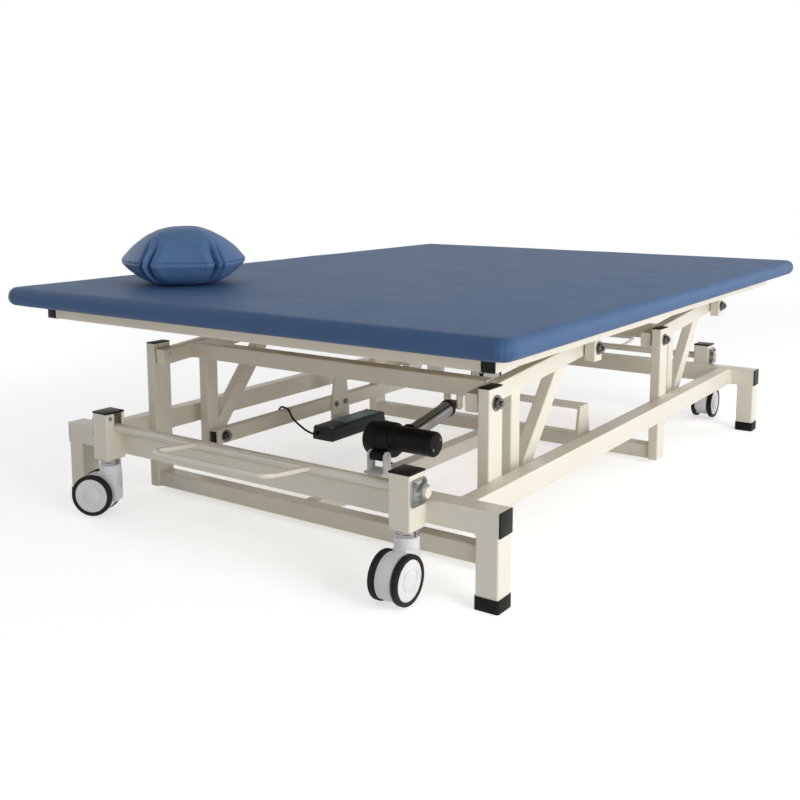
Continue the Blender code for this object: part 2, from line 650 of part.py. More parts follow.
def make_swing_frame(name, pivot, carrier):
    level = Matrix.Translation(pivot) @ Matrix.Rotation(LEVER_ANGLE, 4, "X")
    half = LEVER_DEPTH / 2
    foot = Vector((0.0, LINK_SETOFF, -LINK_DROP))
    head = Vector((0.0, BRACE_HEAD_OFFSET, BRACE_HEAD_OFFSET * math.tan(LEVER_ANGLE)))
    brace_angle = math.atan2(head.z - foot.z, head.y - foot.y)
    brace_length = (head - foot).length
    brace_frame = Matrix.Translation(pivot + foot) @ Matrix.Rotation(brace_angle, 4, "X")
    leg_y = BRACE_FOOT_SETOFF
    cross_z = CROSS_TUBE_OFFSET * math.tan(LEVER_ANGLE)
    near, far = spread(CROSS_TUBE_OFFSET, half)
    reach = LEVER_INNER_X + LEVER_WIDTH / 2
    solids = [box((-reach, near, cross_z - half), (reach, far, cross_z + half), "X",
                  matrix=Matrix.Translation(pivot))]
    cuts = []
    for side in SIDES.values():
        x0, x1 = sorted((side * LEVER_INNER_X, side * LEVER_OUTER_X))
        solids.append(box((x0, -LEVER_END, -half), (x1, LEVER_ARM + LEVER_END, half), "Y", matrix=level))
        solids.append(box((x0, leg_y - half, foot.z - LEVER_END), (x1, leg_y + half, half), "Z",
                          matrix=Matrix.Translation(pivot)))
        solids.append(box((x0, -half / 2, -half), (x1, brace_length, half), "Y", matrix=brace_frame))
        for hole in (Vector(), TO_BRACKET, foot):
            y, z = (pivot + hole).yz
            cuts.append(rod((side * (LEVER_INNER_X - LEVER_WIDTH), y, z),
                            (side * (LEVER_OUTER_X + LEVER_WIDTH), y, z),
                            PIN_RADIUS + RUNNING_FIT, SMALL_SEGMENTS))
    piece(name + "_swing_frame", solids, CREAM_STEEL, carrier, cuts)


def make_tie_rod(name, side, carrier):
    x0, x1 = sorted((side * TIE_INNER_X, side * TIE_OUTER_X))
    y0 = NEAR_LINK.y - TIE_END
    y1 = NEAR_LINK.y + LEVER_SPACING + TIE_END
    z0, z1 = spread(NEAR_LINK.z, TIE_HEIGHT / 2)
    solids = [box((x0, y0, z0), (x1, y1, z1), "Y")]
    for pivot in (NEAR_LINK, NEAR_LINK + FAR_STEP):
        nut = LEVER_OUTER_X + NUT_HEIGHT
        solids += pivot_pin(side, pivot.y, pivot.z, TIE_INNER_X, LEVER_OUTER_X + TIE_COLLAR)
        solids.append(rod((side * (TIE_OUTER_X - GAP), pivot.y, pivot.z),
                          (side * (LEVER_INNER_X - GAP), pivot.y, pivot.z), WASHER_RADIUS, SMALL_SEGMENTS))
        solids.append(rod((side * (LEVER_OUTER_X + GAP), pivot.y, pivot.z), (side * nut, pivot.y, pivot.z),
                          HEX_RADIUS, 6))
    piece(name + "_tie_rod", solids, CREAM_STEEL, carrier)


def leg_plate(side, bottom):
    """One flared plate of the bridge, on the inner face of a tie rod."""
    outer = TIE_INNER_X - GAP
    top = STRAP_TOP - BRIDGE_PLATE / 2
    foot0, foot1 = spread(BRIDGE_Y, BRIDGE_FOOT_WIDTH / 2)
    head0, head1 = spread(BRIDGE_Y, BRIDGE_STRAP_WIDTH / 2 - EAR_PLAY)
    outline = [(head0, top), (foot0, NEAR_LINK.z), (foot0, bottom), (foot1, bottom), (foot1, NEAR_LINK.z),
               (head1, top)]
    return plate(outline, side * outer, side * (outer - BRIDGE_PLATE))


def make_bridge(carrier):
    outer = TIE_INNER_X - GAP
    y0, y1 = spread(BRIDGE_Y, BRIDGE_STRAP_WIDTH / 2)
    strap_bottom = STRAP_TOP - BRIDGE_PLATE
    tray_bottom = NEAR_LINK.z - TRAY_DROP
    strap_end = outer - EAR_PLAY
    solids = [box((-strap_end, y0, strap_bottom), (strap_end, y1, STRAP_TOP)),
              leg_plate(1, NEAR_LINK.z - TIE_HEIGHT / 2), leg_plate(-1, tray_bottom - EAR_PLAY)]
    tray0, tray1 = spread(BRIDGE_Y, BRIDGE_FOOT_WIDTH / 2 - TRAY_THICKNESS)
    solids.append(box((BRIDGE_PLATE / 2 - outer, tray0, tray_bottom),
                      (TRAY_LENGTH - outer, tray1, tray_bottom + TRAY_THICKNESS)))
    ear0 = FRONT_EYE_HALF + ACTUATOR_PIN
    ear1 = ear0 + EAR_THICKNESS
    stub = FRONT_EYE_HALF + EAR_PLAY
    head = ear1 + EAR_THICKNESS
    ear = lug_outline(FRONT_PIN.y, FRONT_PIN.z, EAR_RADIUS, strap_bottom + BRIDGE_PLATE / 2)
    for side in SIDES.values():
        solids.append(plate(ear, side * ear0, side * ear1))
        solids.append(rod((side * stub, FRONT_PIN.y, FRONT_PIN.z), (side * head, FRONT_PIN.y, FRONT_PIN.z),
                          ACTUATOR_PIN, SMALL_SEGMENTS))
    piece("bridge", solids, CREAM_STEEL, carrier)


def make_control_box(carrier):
    x0 = TRAY_LENGTH - TIE_INNER_X - BOX_WIDTH
    z0 = NEAR_LINK.z - TRAY_DROP + TRAY_THICKNESS + GAP
    y1 = BRIDGE_Y + BRIDGE_FOOT_WIDTH / 2
    body = box((x0, y1 - BOX_LENGTH, z0), (x0 + BOX_WIDTH, y1, z0 + BOX_HEIGHT), "all", BOX_ROUND)
    piece("control_box", [body], DARK_PLASTIC, carrier)
    return Vector((x0, y1 - BOX_LENGTH, z0 + BOX_HEIGHT / 2))


def make_box_lead(start, carrier):
    """The lead from the control box's near end, up over the left tie rod and into its outer face."""
    over = NEAR_LINK.z + TIE_HEIGHT / 2 + LEAD_RADIUS + 2 * GAP
    entry_z = NEAR_LINK.z
    x_in = -TIE_INNER_X
    x_out = -TIE_OUTER_X
    y = start.y - 0.018
    points = [(start.x + 0.020, start.y - GAP, start.z), (start.x + 0.020, start.y - 0.008, start.z),
              (start.x + 0.016, y, start.z + 0.002),
              (start.x - 0.004, y - 0.011, start.z + 0.014), (x_in + 0.028, y - 0.010, over - 0.024),
              (x_in + 0.005, y - 0.004, over - 0.001), ((x_in + x_out) / 2, y, over + 0.003),
              (x_out + 0.001, y + 0.003, over + 0.002), (x_out - 0.009, y + 0.005, over - 0.007),
              (x_out - 0.011, y + 0.007, entry_z + 0.009), (x_out - 0.005, y + 0.008, entry_z),
              (x_out - GAP, y + 0.008, entry_z)]
    piece("box_lead", [bent_bar(smooth_route(points), LEAD_RADIUS, 1)], BLACK_PLASTIC, carrier)


def make_actuator_lead(base):
    """The lead from the gear housing's left face down into the centre low bar."""
    start = ACTUATOR_FRAME @ Vector((-DRUM_LEFT - GAP, DRUM_AHEAD + 0.012, DRUM_UP + 0.022))
    entry_z = LOW_BAR_BOTTOM + LOW_BAR / 2
    x, y, z = start
    points = [(x, y, z), (x - 0.008, y, z), (x - 0.022, y + 0.008, z - 0.004),
              (x - 0.040, y + 0.024, z - 0.026), (x - 0.044, y + 0.044, z - 0.060),
              (x - 0.030, y + 0.062, z - 0.096),
              (x + 0.004, y + 0.074, entry_z + 0.004), (-LOW_BAR / 2 - 0.008, y + 0.078, entry_z),
              (-LOW_BAR / 2 - GAP, y + 0.078, entry_z)]
    piece("actuator_lead", [bent_bar(smooth_route(points), LEAD_RADIUS, 1)], BLACK_PLASTIC, base)


def make_actuator(base):
    tilt = axis_empty("actuator_axis", REAR_PIN, base)
    across = Matrix.Rotation(math.radians(90), 4, "Y")
    ahead = Matrix.Rotation(math.radians(-90), 4, "X")
    edge = 0.008
    shoulder = edge * 0.3
    drum_profile = [(0.0, DRUM_RIGHT), (DRUM_RADIUS - edge, DRUM_RIGHT),
                    (DRUM_RADIUS - shoulder, DRUM_RIGHT - shoulder),
                    (DRUM_RADIUS, DRUM_RIGHT - edge), (DRUM_RADIUS, edge - DRUM_LEFT),
                    (DRUM_RADIUS - shoulder, shoulder - DRUM_LEFT), (DRUM_RADIUS - edge, -DRUM_LEFT),
                    (0.0, -DRUM_LEFT)]
    drum = turned(drum_profile, Matrix.Translation((0.0, DRUM_AHEAD, DRUM_UP)) @ across)
    barrel_start = MOTOR_AHEAD + MOTOR_RADIUS + EAR_PLAY
    barrel = rod((0.0, barrel_start, 0.0), (0.0, BARREL_END, 0.0), BARREL_RADIUS)
    lug = [(z, y) for y, z in lug_outline(0.0, 0.0, EYE_RADIUS, DRUM_AHEAD)]
    neck = plate(lug, -REAR_EYE_HALF, REAR_EYE_HALF)
    pin_hole = rod((-DRUM_LEFT, 0.0, 0.0), (DRUM_LEFT, 0.0, 0.0), ACTUATOR_PIN + RUNNING_FIT, SMALL_SEGMENTS)
    piece("gear_housing", [drum, barrel, neck], BLACK_PLASTIC, tilt, [pin_hole], ACTUATOR_FRAME)

    start = DRUM_RIGHT + GAP
    end = start + MOTOR_LENGTH
    motor = [(0.0, end), (MOTOR_RADIUS - edge, end), (MOTOR_RADIUS - shoulder, end - shoulder),
             (MOTOR_RADIUS, end - edge), (MOTOR_RADIUS, start), (0.0, start)]
    motor_place = Matrix.Translation((0.0, MOTOR_AHEAD, MOTOR_UP)) @ across
    piece("drive_motor", [turned(motor, motor_place)], BLACK_PLASTIC, tilt, place=ACTUATOR_FRAME)

    bore = ROD_RADIUS + ROD_PLAY
    ring = OUTER_TUBE_END - END_RING_LENGTH
    bore_end = ROD_START - ROD_RADIUS / 4
    tube = [(0.0, bore_end), (bore, bore_end), (bore, OUTER_TUBE_END), (END_RING_RADIUS, OUTER_TUBE_END),
            (END_RING_RADIUS, ring), (OUTER_TUBE_RADIUS, ring), (OUTER_TUBE_RADIUS, BARREL_END + GAP),
            (0.0, BARREL_END + GAP)]
    piece("outer_tube", [turned(tube, ahead)], GREY_METAL, tilt, place=ACTUATOR_FRAME)

    stroke = axis_empty("actuator_stroke", FRONT_PIN, tilt)
    shank_end = ACTUATOR_LENGTH - (EYE_RADIUS + ACTUATOR_PIN) / 2
    shank = rod((0.0, ROD_START, 0.0), (0.0, shank_end, 0.0), ROD_RADIUS)
    front_eye = rod((-FRONT_EYE_HALF, ACTUATOR_LENGTH, 0.0), (FRONT_EYE_HALF, ACTUATOR_LENGTH, 0.0),
                    EYE_RADIUS)
    hole = rod((-DRUM_LEFT, ACTUATOR_LENGTH, 0.0), (DRUM_LEFT, ACTUATOR_LENGTH, 0.0),
               ACTUATOR_PIN + RUNNING_FIT, SMALL_SEGMENTS)
    piece("piston_rod", [shank, front_eye], BARE_STEEL, stroke, [hole], ACTUATOR_FRAME)


def make_top_frame(carrier):
    y0, y1 = spread(FRAME_CENTRE_Y, FRAME_LENGTH / 2)
    inner = FRAME_OUTER - FRAME_TUBE_WIDTH
    reach = inner + FRAME_TUBE_WIDTH / 2
    solids = []
    for side in SIDES.values():
        x0, x1 = sorted((side * inner, side * FRAME_OUTER))
        solids.append(box((x0, y0, FRAME_BOTTOM), (x1, y1, FRAME_TOP), "Y"))
    half = FRAME_TUBE_WIDTH / 2
    bracket_rows = (NEAR_BRACKET.y, NEAR_BRACKET.y + LEVER_SPACING)
    for y in (y0 + half, *bracket_rows, y1 - half):
        solids.append(box((-reach, y - half, FRAME_BOTTOM), (reach, y + half, FRAME_TOP), "X"))
    inside = LEVER_OUTER_X + LEVER_COLLAR
    outside = inside + BRACKET_WIDTH
    z = NEAR_BRACKET.z
    for y in bracket_rows:
        for side in SIDES.values():
            x0, x1 = sorted((side * inside, side * outside))
            solids.append(box((x0, y - BRACKET_DEPTH / 2, z - BRACKET_BELOW_PIN),
                              (x1, y + BRACKET_DEPTH / 2, FRAME_BOTTOM + FRAME_TUBE_HEIGHT / 2), "Z"))
            solids += pivot_pin(side, y, z, outside, LEVER_INNER_X - TIE_COLLAR)
            solids.append(rod((side * (inside + GAP), y, z), (side * (LEVER_OUTER_X + GAP), y, z),
                              WASHER_RADIUS, SMALL_SEGMENTS))
            solids.append(rod((side * (LEVER_INNER_X - GAP), y, z),
                              (side * (LEVER_INNER_X - NUT_HEIGHT), y, z), HEX_RADIUS, 6))
    piece("top_frame", solids, CREAM_STEEL, carrier)


def board_limits(grown=0.0):
    x = PAD_WIDTH / 2 - BOARD_INSET + grown
    y = PAD_LENGTH / 2 - BOARD_INSET + grown
    low = (-x, FRAME_CENTRE_Y - y, PAD_BOTTOM - grown)
    high = (x, FRAME_CENTRE_Y + y, PAD_BOTTOM + BOARD_THICKNESS + grown)
    return low, high


def make_pad(carrier):
    piece("bed_board", [box(*board_limits(), "Z", PAD_CORNER / 2)], PLYWOOD, carrier)
    half = Vector((PAD_WIDTH / 2, PAD_LENGTH / 2, PAD_THICKNESS / 2))
    bm = bmesh.new()
    bmesh.ops.create_cube(bm, size=1.0)
    bmesh.ops.scale(bm, vec=2 * half, verts=bm.verts)
    for axis in (0, 1):
        for place in (PAD_CORNER - half[axis], 0.0, half[axis] - PAD_CORNER):
            normal = Vector((axis == 0, axis == 1, 0.0))
            geom = bm.verts[:] + bm.edges[:] + bm.faces[:]
            bmesh.ops.bisect_plane(bm, geom=geom, plane_co=normal * place, plane_no=normal)
    geom = bm.verts[:] + bm.edges[:] + bm.faces[:]
    bmesh.ops.bisect_plane(bm, geom=geom, plane_co=(0, 0, 0), plane_no=(0, 0, 1))
    for vertex in bm.verts:
        flat = all(abs(vertex.co[axis]) < half[axis] - PAD_CORNER / 2 for axis in (0, 1))
        if vertex.co.z > 0 and not flat:
            vertex.co.z -= PAD_CROWN
        middle = abs(vertex.co.x) < GAP or abs(vertex.co.y) < GAP
        rim = not flat and abs(vertex.co.z) > GAP
        if rim and middle:
            vertex.co.x -= math.copysign(PAD_CROWN, vertex.co.x) * (abs(vertex.co.x) > GAP)
            vertex.co.y -= math.copysign(PAD_CROWN, vertex.co.y) * (abs(vertex.co.y) > GAP)
    middle_z = PAD_BOTTOM + PAD_THICKNESS / 2
    form = solid_from(bm, Matrix.Translation((0.0, FRAME_CENTRE_Y, middle_z)))
    soften(form)
    return piece("pad", [form], BLUE_VINYL, carrier, [box(*board_limits(GAP), "Z", PAD_CORNER / 2)])


def soften(form, levels=2):
    smooth = form.modifiers.new("soft", "SUBSURF")
    smooth.levels = levels
    smooth.render_levels = levels


def settle(form, support):
    """Lower a form until it rests, one seat gap up, on the part below it."""
    place = Vector(support.parent["place"])
    points = [vertex.co + place for vertex in support.data.vertices]
    tree = BVHTree.FromPolygons(points, [tuple(face.vertices) for face in support.data.polygons])
    down = Vector((0.0, 0.0, -1.0))
    drops = [tree.ray_cast(vertex.co, down)[3] for vertex in evaluated_mesh(form).vertices]
    drop = min(distance for distance in drops if distance is not None)
    form.data.transform(Matrix.Translation((0.0, 0.0, GAP - drop)))


def make_pillow(pad, carrier):
    """A stuffed cushion: rounded square plan, crowned top, edges drawn in from its girth."""
    bm = bmesh.new()
    bmesh.ops.create_cube(bm, size=2.0)
    bmesh.ops.subdivide_edges(bm, edges=bm.edges[:], cuts=2, use_grid_fill=True)
    above = PILLOW_HEIGHT - PILLOW_SEAM_HEIGHT
    for vertex in bm.verts:
        a, b, c = vertex.co
        rim = max(abs(a), abs(b)) > 0.9
        shoulder = rim and abs(c) > 0.9
        out = PILLOW_SHOULDER if shoulder else 1.0
        if rim:
            out /= (abs(a) ** PILLOW_ROUNDNESS + abs(b) ** PILLOW_ROUNDNESS) ** (1 / PILLOW_ROUNDNESS)
        rise = above if c > 0 else PILLOW_SEAM_HEIGHT
        height = PILLOW_SHOULDER if shoulder and c > 0 else abs(c)
        vertex.co = (a * out * PILLOW_WIDTH / 2, b * out * PILLOW_LENGTH / 2,
                     PILLOW_SEAM_HEIGHT + math.copysign(height * rise, c))
    x = PILLOW_SIDE_INSET - PAD_WIDTH / 2
    y = FRAME_CENTRE_Y - PAD_LENGTH / 2 + PILLOW_END_INSET
    place = Matrix.Translation((x, y, PAD_TOP)) @ Matrix.Rotation(PILLOW_TURN, 4, "Z")
    form = solid_from(bm, place)
    soften(form)
    settle(form, pad)
    piece("pillow", [form], BLUE_VINYL, carrier)


def main():
    base = axis_empty("base_origin", (0.0, 0.0, 0.0))
    for end_name, end in ENDS.items():
        make_end_frame(end_name, end, base)
        make_pedal_shaft(end_name, end, base)
        for side_name, side in SIDES.items():
            corner = end_name + "_" + side_name
            make_foot(corner, end, side, base)
            make_caster_post(corner, end, side, base)
            make_flange_bearing(corner, end, side, base)
            make_caster(corner, end, side, base)
    for side_name, side in SIDES.items():
        make_side_beam(side_name, side, base)
    make_post_frame("near", NEAR_PIVOT, base)
    make_post_frame("far", NEAR_PIVOT + FAR_STEP, base)
    make_centre_bar(base)
    make_rear_bracket(base)
    make_actuator(base)
    make_actuator_lead(base)

    near_lever = axis_empty("near_lever_axis", NEAR_PIVOT, base)
    far_lever = axis_empty("far_lever_axis", NEAR_PIVOT + FAR_STEP, base)
    make_swing_frame("near", NEAR_PIVOT, near_lever)
    make_swing_frame("far", NEAR_PIVOT + FAR_STEP, far_lever)
    links = axis_empty("tie_rod_axis", NEAR_LINK, near_lever)
    for side_name, side in SIDES.items():
        make_tie_rod(side_name, side, links)
    make_bridge(links)
    box_corner = make_control_box(links)
    make_box_lead(box_corner, links)
    platform = axis_empty("platform_axis", NEAR_BRACKET, near_lever)
    make_top_frame(platform)
    pad = make_pad(platform)
    make_pillow(pad, platform)


main()
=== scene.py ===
import json
import math

import bmesh
import bpy
from mathutils import Matrix, Vector, noise
from mathutils.bvhtree import BVHTree

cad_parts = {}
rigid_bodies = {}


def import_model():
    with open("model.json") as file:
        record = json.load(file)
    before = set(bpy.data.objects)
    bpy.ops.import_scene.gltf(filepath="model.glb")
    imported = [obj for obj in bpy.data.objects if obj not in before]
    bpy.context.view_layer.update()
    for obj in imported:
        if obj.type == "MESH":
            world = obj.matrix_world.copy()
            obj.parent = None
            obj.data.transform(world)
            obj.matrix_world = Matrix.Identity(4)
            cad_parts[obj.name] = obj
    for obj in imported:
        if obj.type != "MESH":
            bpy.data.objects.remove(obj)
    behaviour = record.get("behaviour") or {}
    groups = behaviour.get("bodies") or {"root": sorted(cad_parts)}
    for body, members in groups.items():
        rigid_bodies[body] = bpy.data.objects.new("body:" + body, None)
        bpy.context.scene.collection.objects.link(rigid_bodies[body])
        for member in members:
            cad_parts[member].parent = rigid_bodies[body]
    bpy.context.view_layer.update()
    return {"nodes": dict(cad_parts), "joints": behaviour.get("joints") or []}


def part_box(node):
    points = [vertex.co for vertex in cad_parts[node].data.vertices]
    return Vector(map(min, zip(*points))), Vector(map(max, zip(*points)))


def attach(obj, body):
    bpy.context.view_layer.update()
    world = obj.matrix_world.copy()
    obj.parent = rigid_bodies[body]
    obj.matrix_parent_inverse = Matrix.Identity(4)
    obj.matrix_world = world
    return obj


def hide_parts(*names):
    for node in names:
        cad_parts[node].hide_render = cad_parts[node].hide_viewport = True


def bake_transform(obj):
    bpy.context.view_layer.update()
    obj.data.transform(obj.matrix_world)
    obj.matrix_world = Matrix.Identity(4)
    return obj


for leftover in list(bpy.data.objects):
    bpy.data.objects.remove(leftover, do_unlink=True)

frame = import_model()
nodes = frame["nodes"]
jointAt = {j["name"]: Vector(j["pos_m"]) for j in frame["joints"] if "pos_m" in j}
jointAxis = {j["name"]: Vector(j["axis"]) for j in frame["joints"]}
endSign = {"near": -1, "far": 1}
sideSign = {"left": -1, "right": 1}
bothSides = tuple(sideSign.values())
corners = {e + "_" + s: (endSign[e], sideSign[s]) for e in endSign for s in sideSign}
print("frame loaded:", len(nodes), "nodes")


# objects and nodes

def putInScene(name, data):
    item = bpy.data.objects.new(name, data)
    bpy.context.scene.collection.objects.link(item)
    return item


def feed(tree, socket, value):
    if isinstance(value, bpy.types.NodeSocket):
        tree.links.new(value, socket)
    else:
        socket.default_value = value


def addNode(tree, kind, inputs=(), **settings):
    # inputs are values to set or sockets to link
    node = tree.nodes.new(kind)
    for label, value in settings.items():
        setattr(node, label, value)
    for label, value in dict(inputs).items():
        feed(tree, node.inputs[label], value)
    return node


def mathNode(tree, operation, a, b=0.0):
    return addNode(tree, "ShaderNodeMath", {0: a, 1: b}, operation=operation).outputs[0]


def mapNode(tree, value, low, high, toLow=0.0, toHigh=1.0, **settings):
    inputs = {"Value": value, "From Min": low, "From Max": high, "To Min": toLow, "To Max": toHigh}
    return addNode(tree, "ShaderNodeMapRange", inputs, **settings).outputs["Result"]


def noiseNode(tree, place, scale, detail, rough=0.5, distortion=0.0):
    inputs = {"Vector": place, "Scale": scale, "Detail": detail, "Roughness": rough, "Distortion": distortion}
    return addNode(tree, "ShaderNodeTexNoise", inputs).outputs["Fac"]


# camera and light

cameraSetup = {
    "place": (1.497, -2.432, 0.820),
    "yaw": 34.28,                # degrees to the left of straight down the bed
    "pitch": 7.97,               # degrees down
    "lens": 45.63,
    "sensor": 36,
    "shift": (-0.0108, -0.1064),
}

lamps = {
    "window": {"place": (4.3, -1.1, 1.5), "aim": (0.0, -0.2, 0.3), "size": 2.6, "power": 122},
    "backWindow": {"place": (3.0, 3.2, 1.3), "aim": (0.5, 0.0, 0.4), "size": 2.2, "power": 38},
    "leftFill": {"place": (-4.3, -0.5, 1.3), "aim": (0.0, 0.0, 0.3), "size": 2.6, "power": 34},
    "fill": {"place": (-0.6, -4.2, 1.1), "aim": (0.0, -0.4, 0.3), "size": 2.4, "power": 14},
}

studioSetup = {
    "worldStrength": 0.26,
    "floorHalf": 30,
    "floorDrop": 0.0005,
    "floorSurface": {"Base Color": (0.90, 0.90, 0.90, 1), "Roughness": 0.9, "Specular IOR Level": 0.1,
                     "Emission Color": (1, 1, 1, 1)},
    "floorLift": 0.54,           # what the floor adds of its own where it is seen
    "floorFade": (2.0, 5.0),     # from here to there it turns into the white backdrop
}


def placeCamera():
    camera = putInScene("camera", bpy.data.cameras.new("camera"))
    camera.data.lens = cameraSetup["lens"]
    camera.data.sensor_width = cameraSetup["sensor"]
    camera.data.shift_x, camera.data.shift_y = cameraSetup["shift"]
    camera.location = cameraSetup["place"]
    tilt = math.radians(90 - cameraSetup["pitch"])
    camera.rotation_euler = (tilt, 0, math.radians(cameraSetup["yaw"]))
    bpy.context.scene.camera = camera


def hangLamp(name, setup):
    lamp = putInScene(name, bpy.data.lights.new(name, "AREA"))
    lamp.data.energy = setup["power"]
    lamp.data.size = setup["size"]
    lamp.location = setup["place"]
    toward = Vector(setup["aim"]) - Vector(setup["place"])
    lamp.rotation_euler = toward.to_track_quat("-Z", "Y").to_euler()


def seenRays(tree):
    # 1 for the rays that show the background: camera, glossy and transmission
    rays = addNode(tree, "ShaderNodeLightPath").outputs
    direct = mathNode(tree, "MAXIMUM", rays["Is Camera Ray"], rays["Is Glossy Ray"])
    return mathNode(tree, "MAXIMUM", direct, rays["Is Transmission Ray"])


def lightStudio():
    scene = bpy.context.scene
    scene.view_settings.view_transform = "Standard"
    scene.world = bpy.data.worlds.new("studio")
    scene.world.use_nodes = True
    tree = scene.world.node_tree
    sky = tree.nodes["Background"].inputs
    feed(tree, sky["Color"], (1, 1, 1, 1))
    feed(tree, sky["Strength"], mapNode(tree, seenRays(tree), 0.0, 1.0, studioSetup["worldStrength"]))
    for name, setup in lamps.items():
        hangLamp(name, setup)


def layFloor():
    bm = bmesh.new()
    bmesh.ops.create_grid(bm, x_segments=1, y_segments=1, size=studioSetup["floorHalf"])
    mesh = bpy.data.meshes.new("floor")
    bm.to_mesh(mesh)
    bm.free()
    floor = putInScene("floor", mesh)
    floor.location.z = -studioSetup["floorDrop"]
    material = bpy.data.materials.new("paleFloor")
    material.use_nodes = True
    mesh.materials.append(material)
    tree = material.node_tree
    shader = tree.nodes["Principled BSDF"]
    seen = seenRays(tree)
    for label, value in studioSetup["floorSurface"].items():
        feed(tree, shader.inputs[label], value)
    feed(tree, shader.inputs["Emission Strength"], mathNode(tree, "MULTIPLY", seen, studioSetup["floorLift"]))
    place = addNode(tree, "ShaderNodeTexCoord").outputs["Object"]
    away = addNode(tree, "ShaderNodeVectorMath", {0: place}, operation="LENGTH").outputs["Value"]
    fade = mapNode(tree, away, *studioSetup["floorFade"], interpolation_type="SMOOTHSTEP")
    backdrop = addNode(tree, "ShaderNodeEmission")
    share = mathNode(tree, "MULTIPLY", fade, seen)
    blend = addNode(tree, "ShaderNodeMixShader", {"Fac": share, 1: shader.outputs[0], 2: backdrop.outputs[0]})
    feed(tree, tree.nodes["Material Output"].inputs["Surface"], blend.outputs[0])


placeCamera()
lightStudio()
layFloor()
print("camera and light set")


# shared surface effects, one shader group each

def mottle(group, given, place):
    return mapNode(group, noiseNode(group, place, given["Scale"], 6.0, 0.6), 0.3, 0.7)


def peel(group, given, place):
    # the slight orange peel of powder coat and moulded plastic
    return noiseNode(group, place, given["Scale"], 2.0, 0.45)


def vinylGrain(group, given, place):
    cells = addNode(group, "ShaderNodeTexVoronoi", {"Vector": place, "Scale": given["Scale"]},
                    feature="DISTANCE_TO_EDGE")
    groove = mapNode(group, cells.outputs["Distance"], 0.0, 0.16)
    soft = mathNode(group, "MULTIPLY", noiseNode(group, place, given["Soft Scale"], 2.0), 0.5)
    return mathNode(group, "ADD", groove, soft)


def floorGrime(group, given, place):
    # dust that gathers low down, thinning out with height
    height = addNode(group, "ShaderNodeSeparateXYZ", {0: place}).outputs["Z"]
    low = mapNode(group, height, 0.0, given["Reach"], 1.0, 0.0)
    patchy = mapNode(group, noiseNode(group, place, given["Scale"], 7.0, 0.7), 0.42, 0.66)
    return mathNode(group, "MULTIPLY", mathNode(group, "MULTIPLY", low, patchy), given["Amount"])


def brushed(group, given, place):
    across = given["Across"]
    stretch = addNode(group, "ShaderNodeCombineXYZ", {0: given["Along"], 1: across, 2: across})
    scaled = addNode(group, "ShaderNodeVectorMath", {0: place, 1: stretch.outputs[0]}, operation="MULTIPLY")
    return noiseNode(group, scaled.outputs[0], 1.0, 2.0)


def woodGrain(group, given, place):
    stretch = addNode(group, "ShaderNodeMapping", {"Vector": place, "Scale": (6.0, 0.5, 6.0)})
    return noiseNode(group, stretch.outputs[0], given["Scale"], 8.0, 0.65, 0.8)


effectSpec = {
    "mottle": (mottle, {"Scale": 6.0}, "Value"),
    "peel": (peel, {"Scale": 700.0}, "Height"),
    "vinylGrain": (vinylGrain, {"Scale": 620.0, "Soft Scale": 26.0}, "Height"),
    "floorGrime": (floorGrime, {"Reach": 0.12, "Scale": 38.0, "Amount": 0.5}, "Mask"),
    "brushed": (brushed, {"Across": 900.0, "Along": 12.0}, "Height"),
    "woodGrain": (woodGrain, {"Scale": 9.0}, "Value"),
}


def buildEffect(name, make, inputs, output):
    group = bpy.data.node_groups.new(name, "ShaderNodeTree")
    for label, value in inputs.items():
        socket = group.interface.new_socket(label, in_out="INPUT", socket_type="NodeSocketFloat")
        socket.default_value = value
    group.interface.new_socket(output, in_out="OUTPUT", socket_type="NodeSocketFloat")
    given = addNode(group, "NodeGroupInput").outputs
    place = addNode(group, "ShaderNodeTexCoord").outputs["Object"]
    addNode(group, "NodeGroupOutput", {output: make(group, given, place)})
    return group


effects = {name: buildEffect(name, *spec) for name, spec in effectSpec.items()}

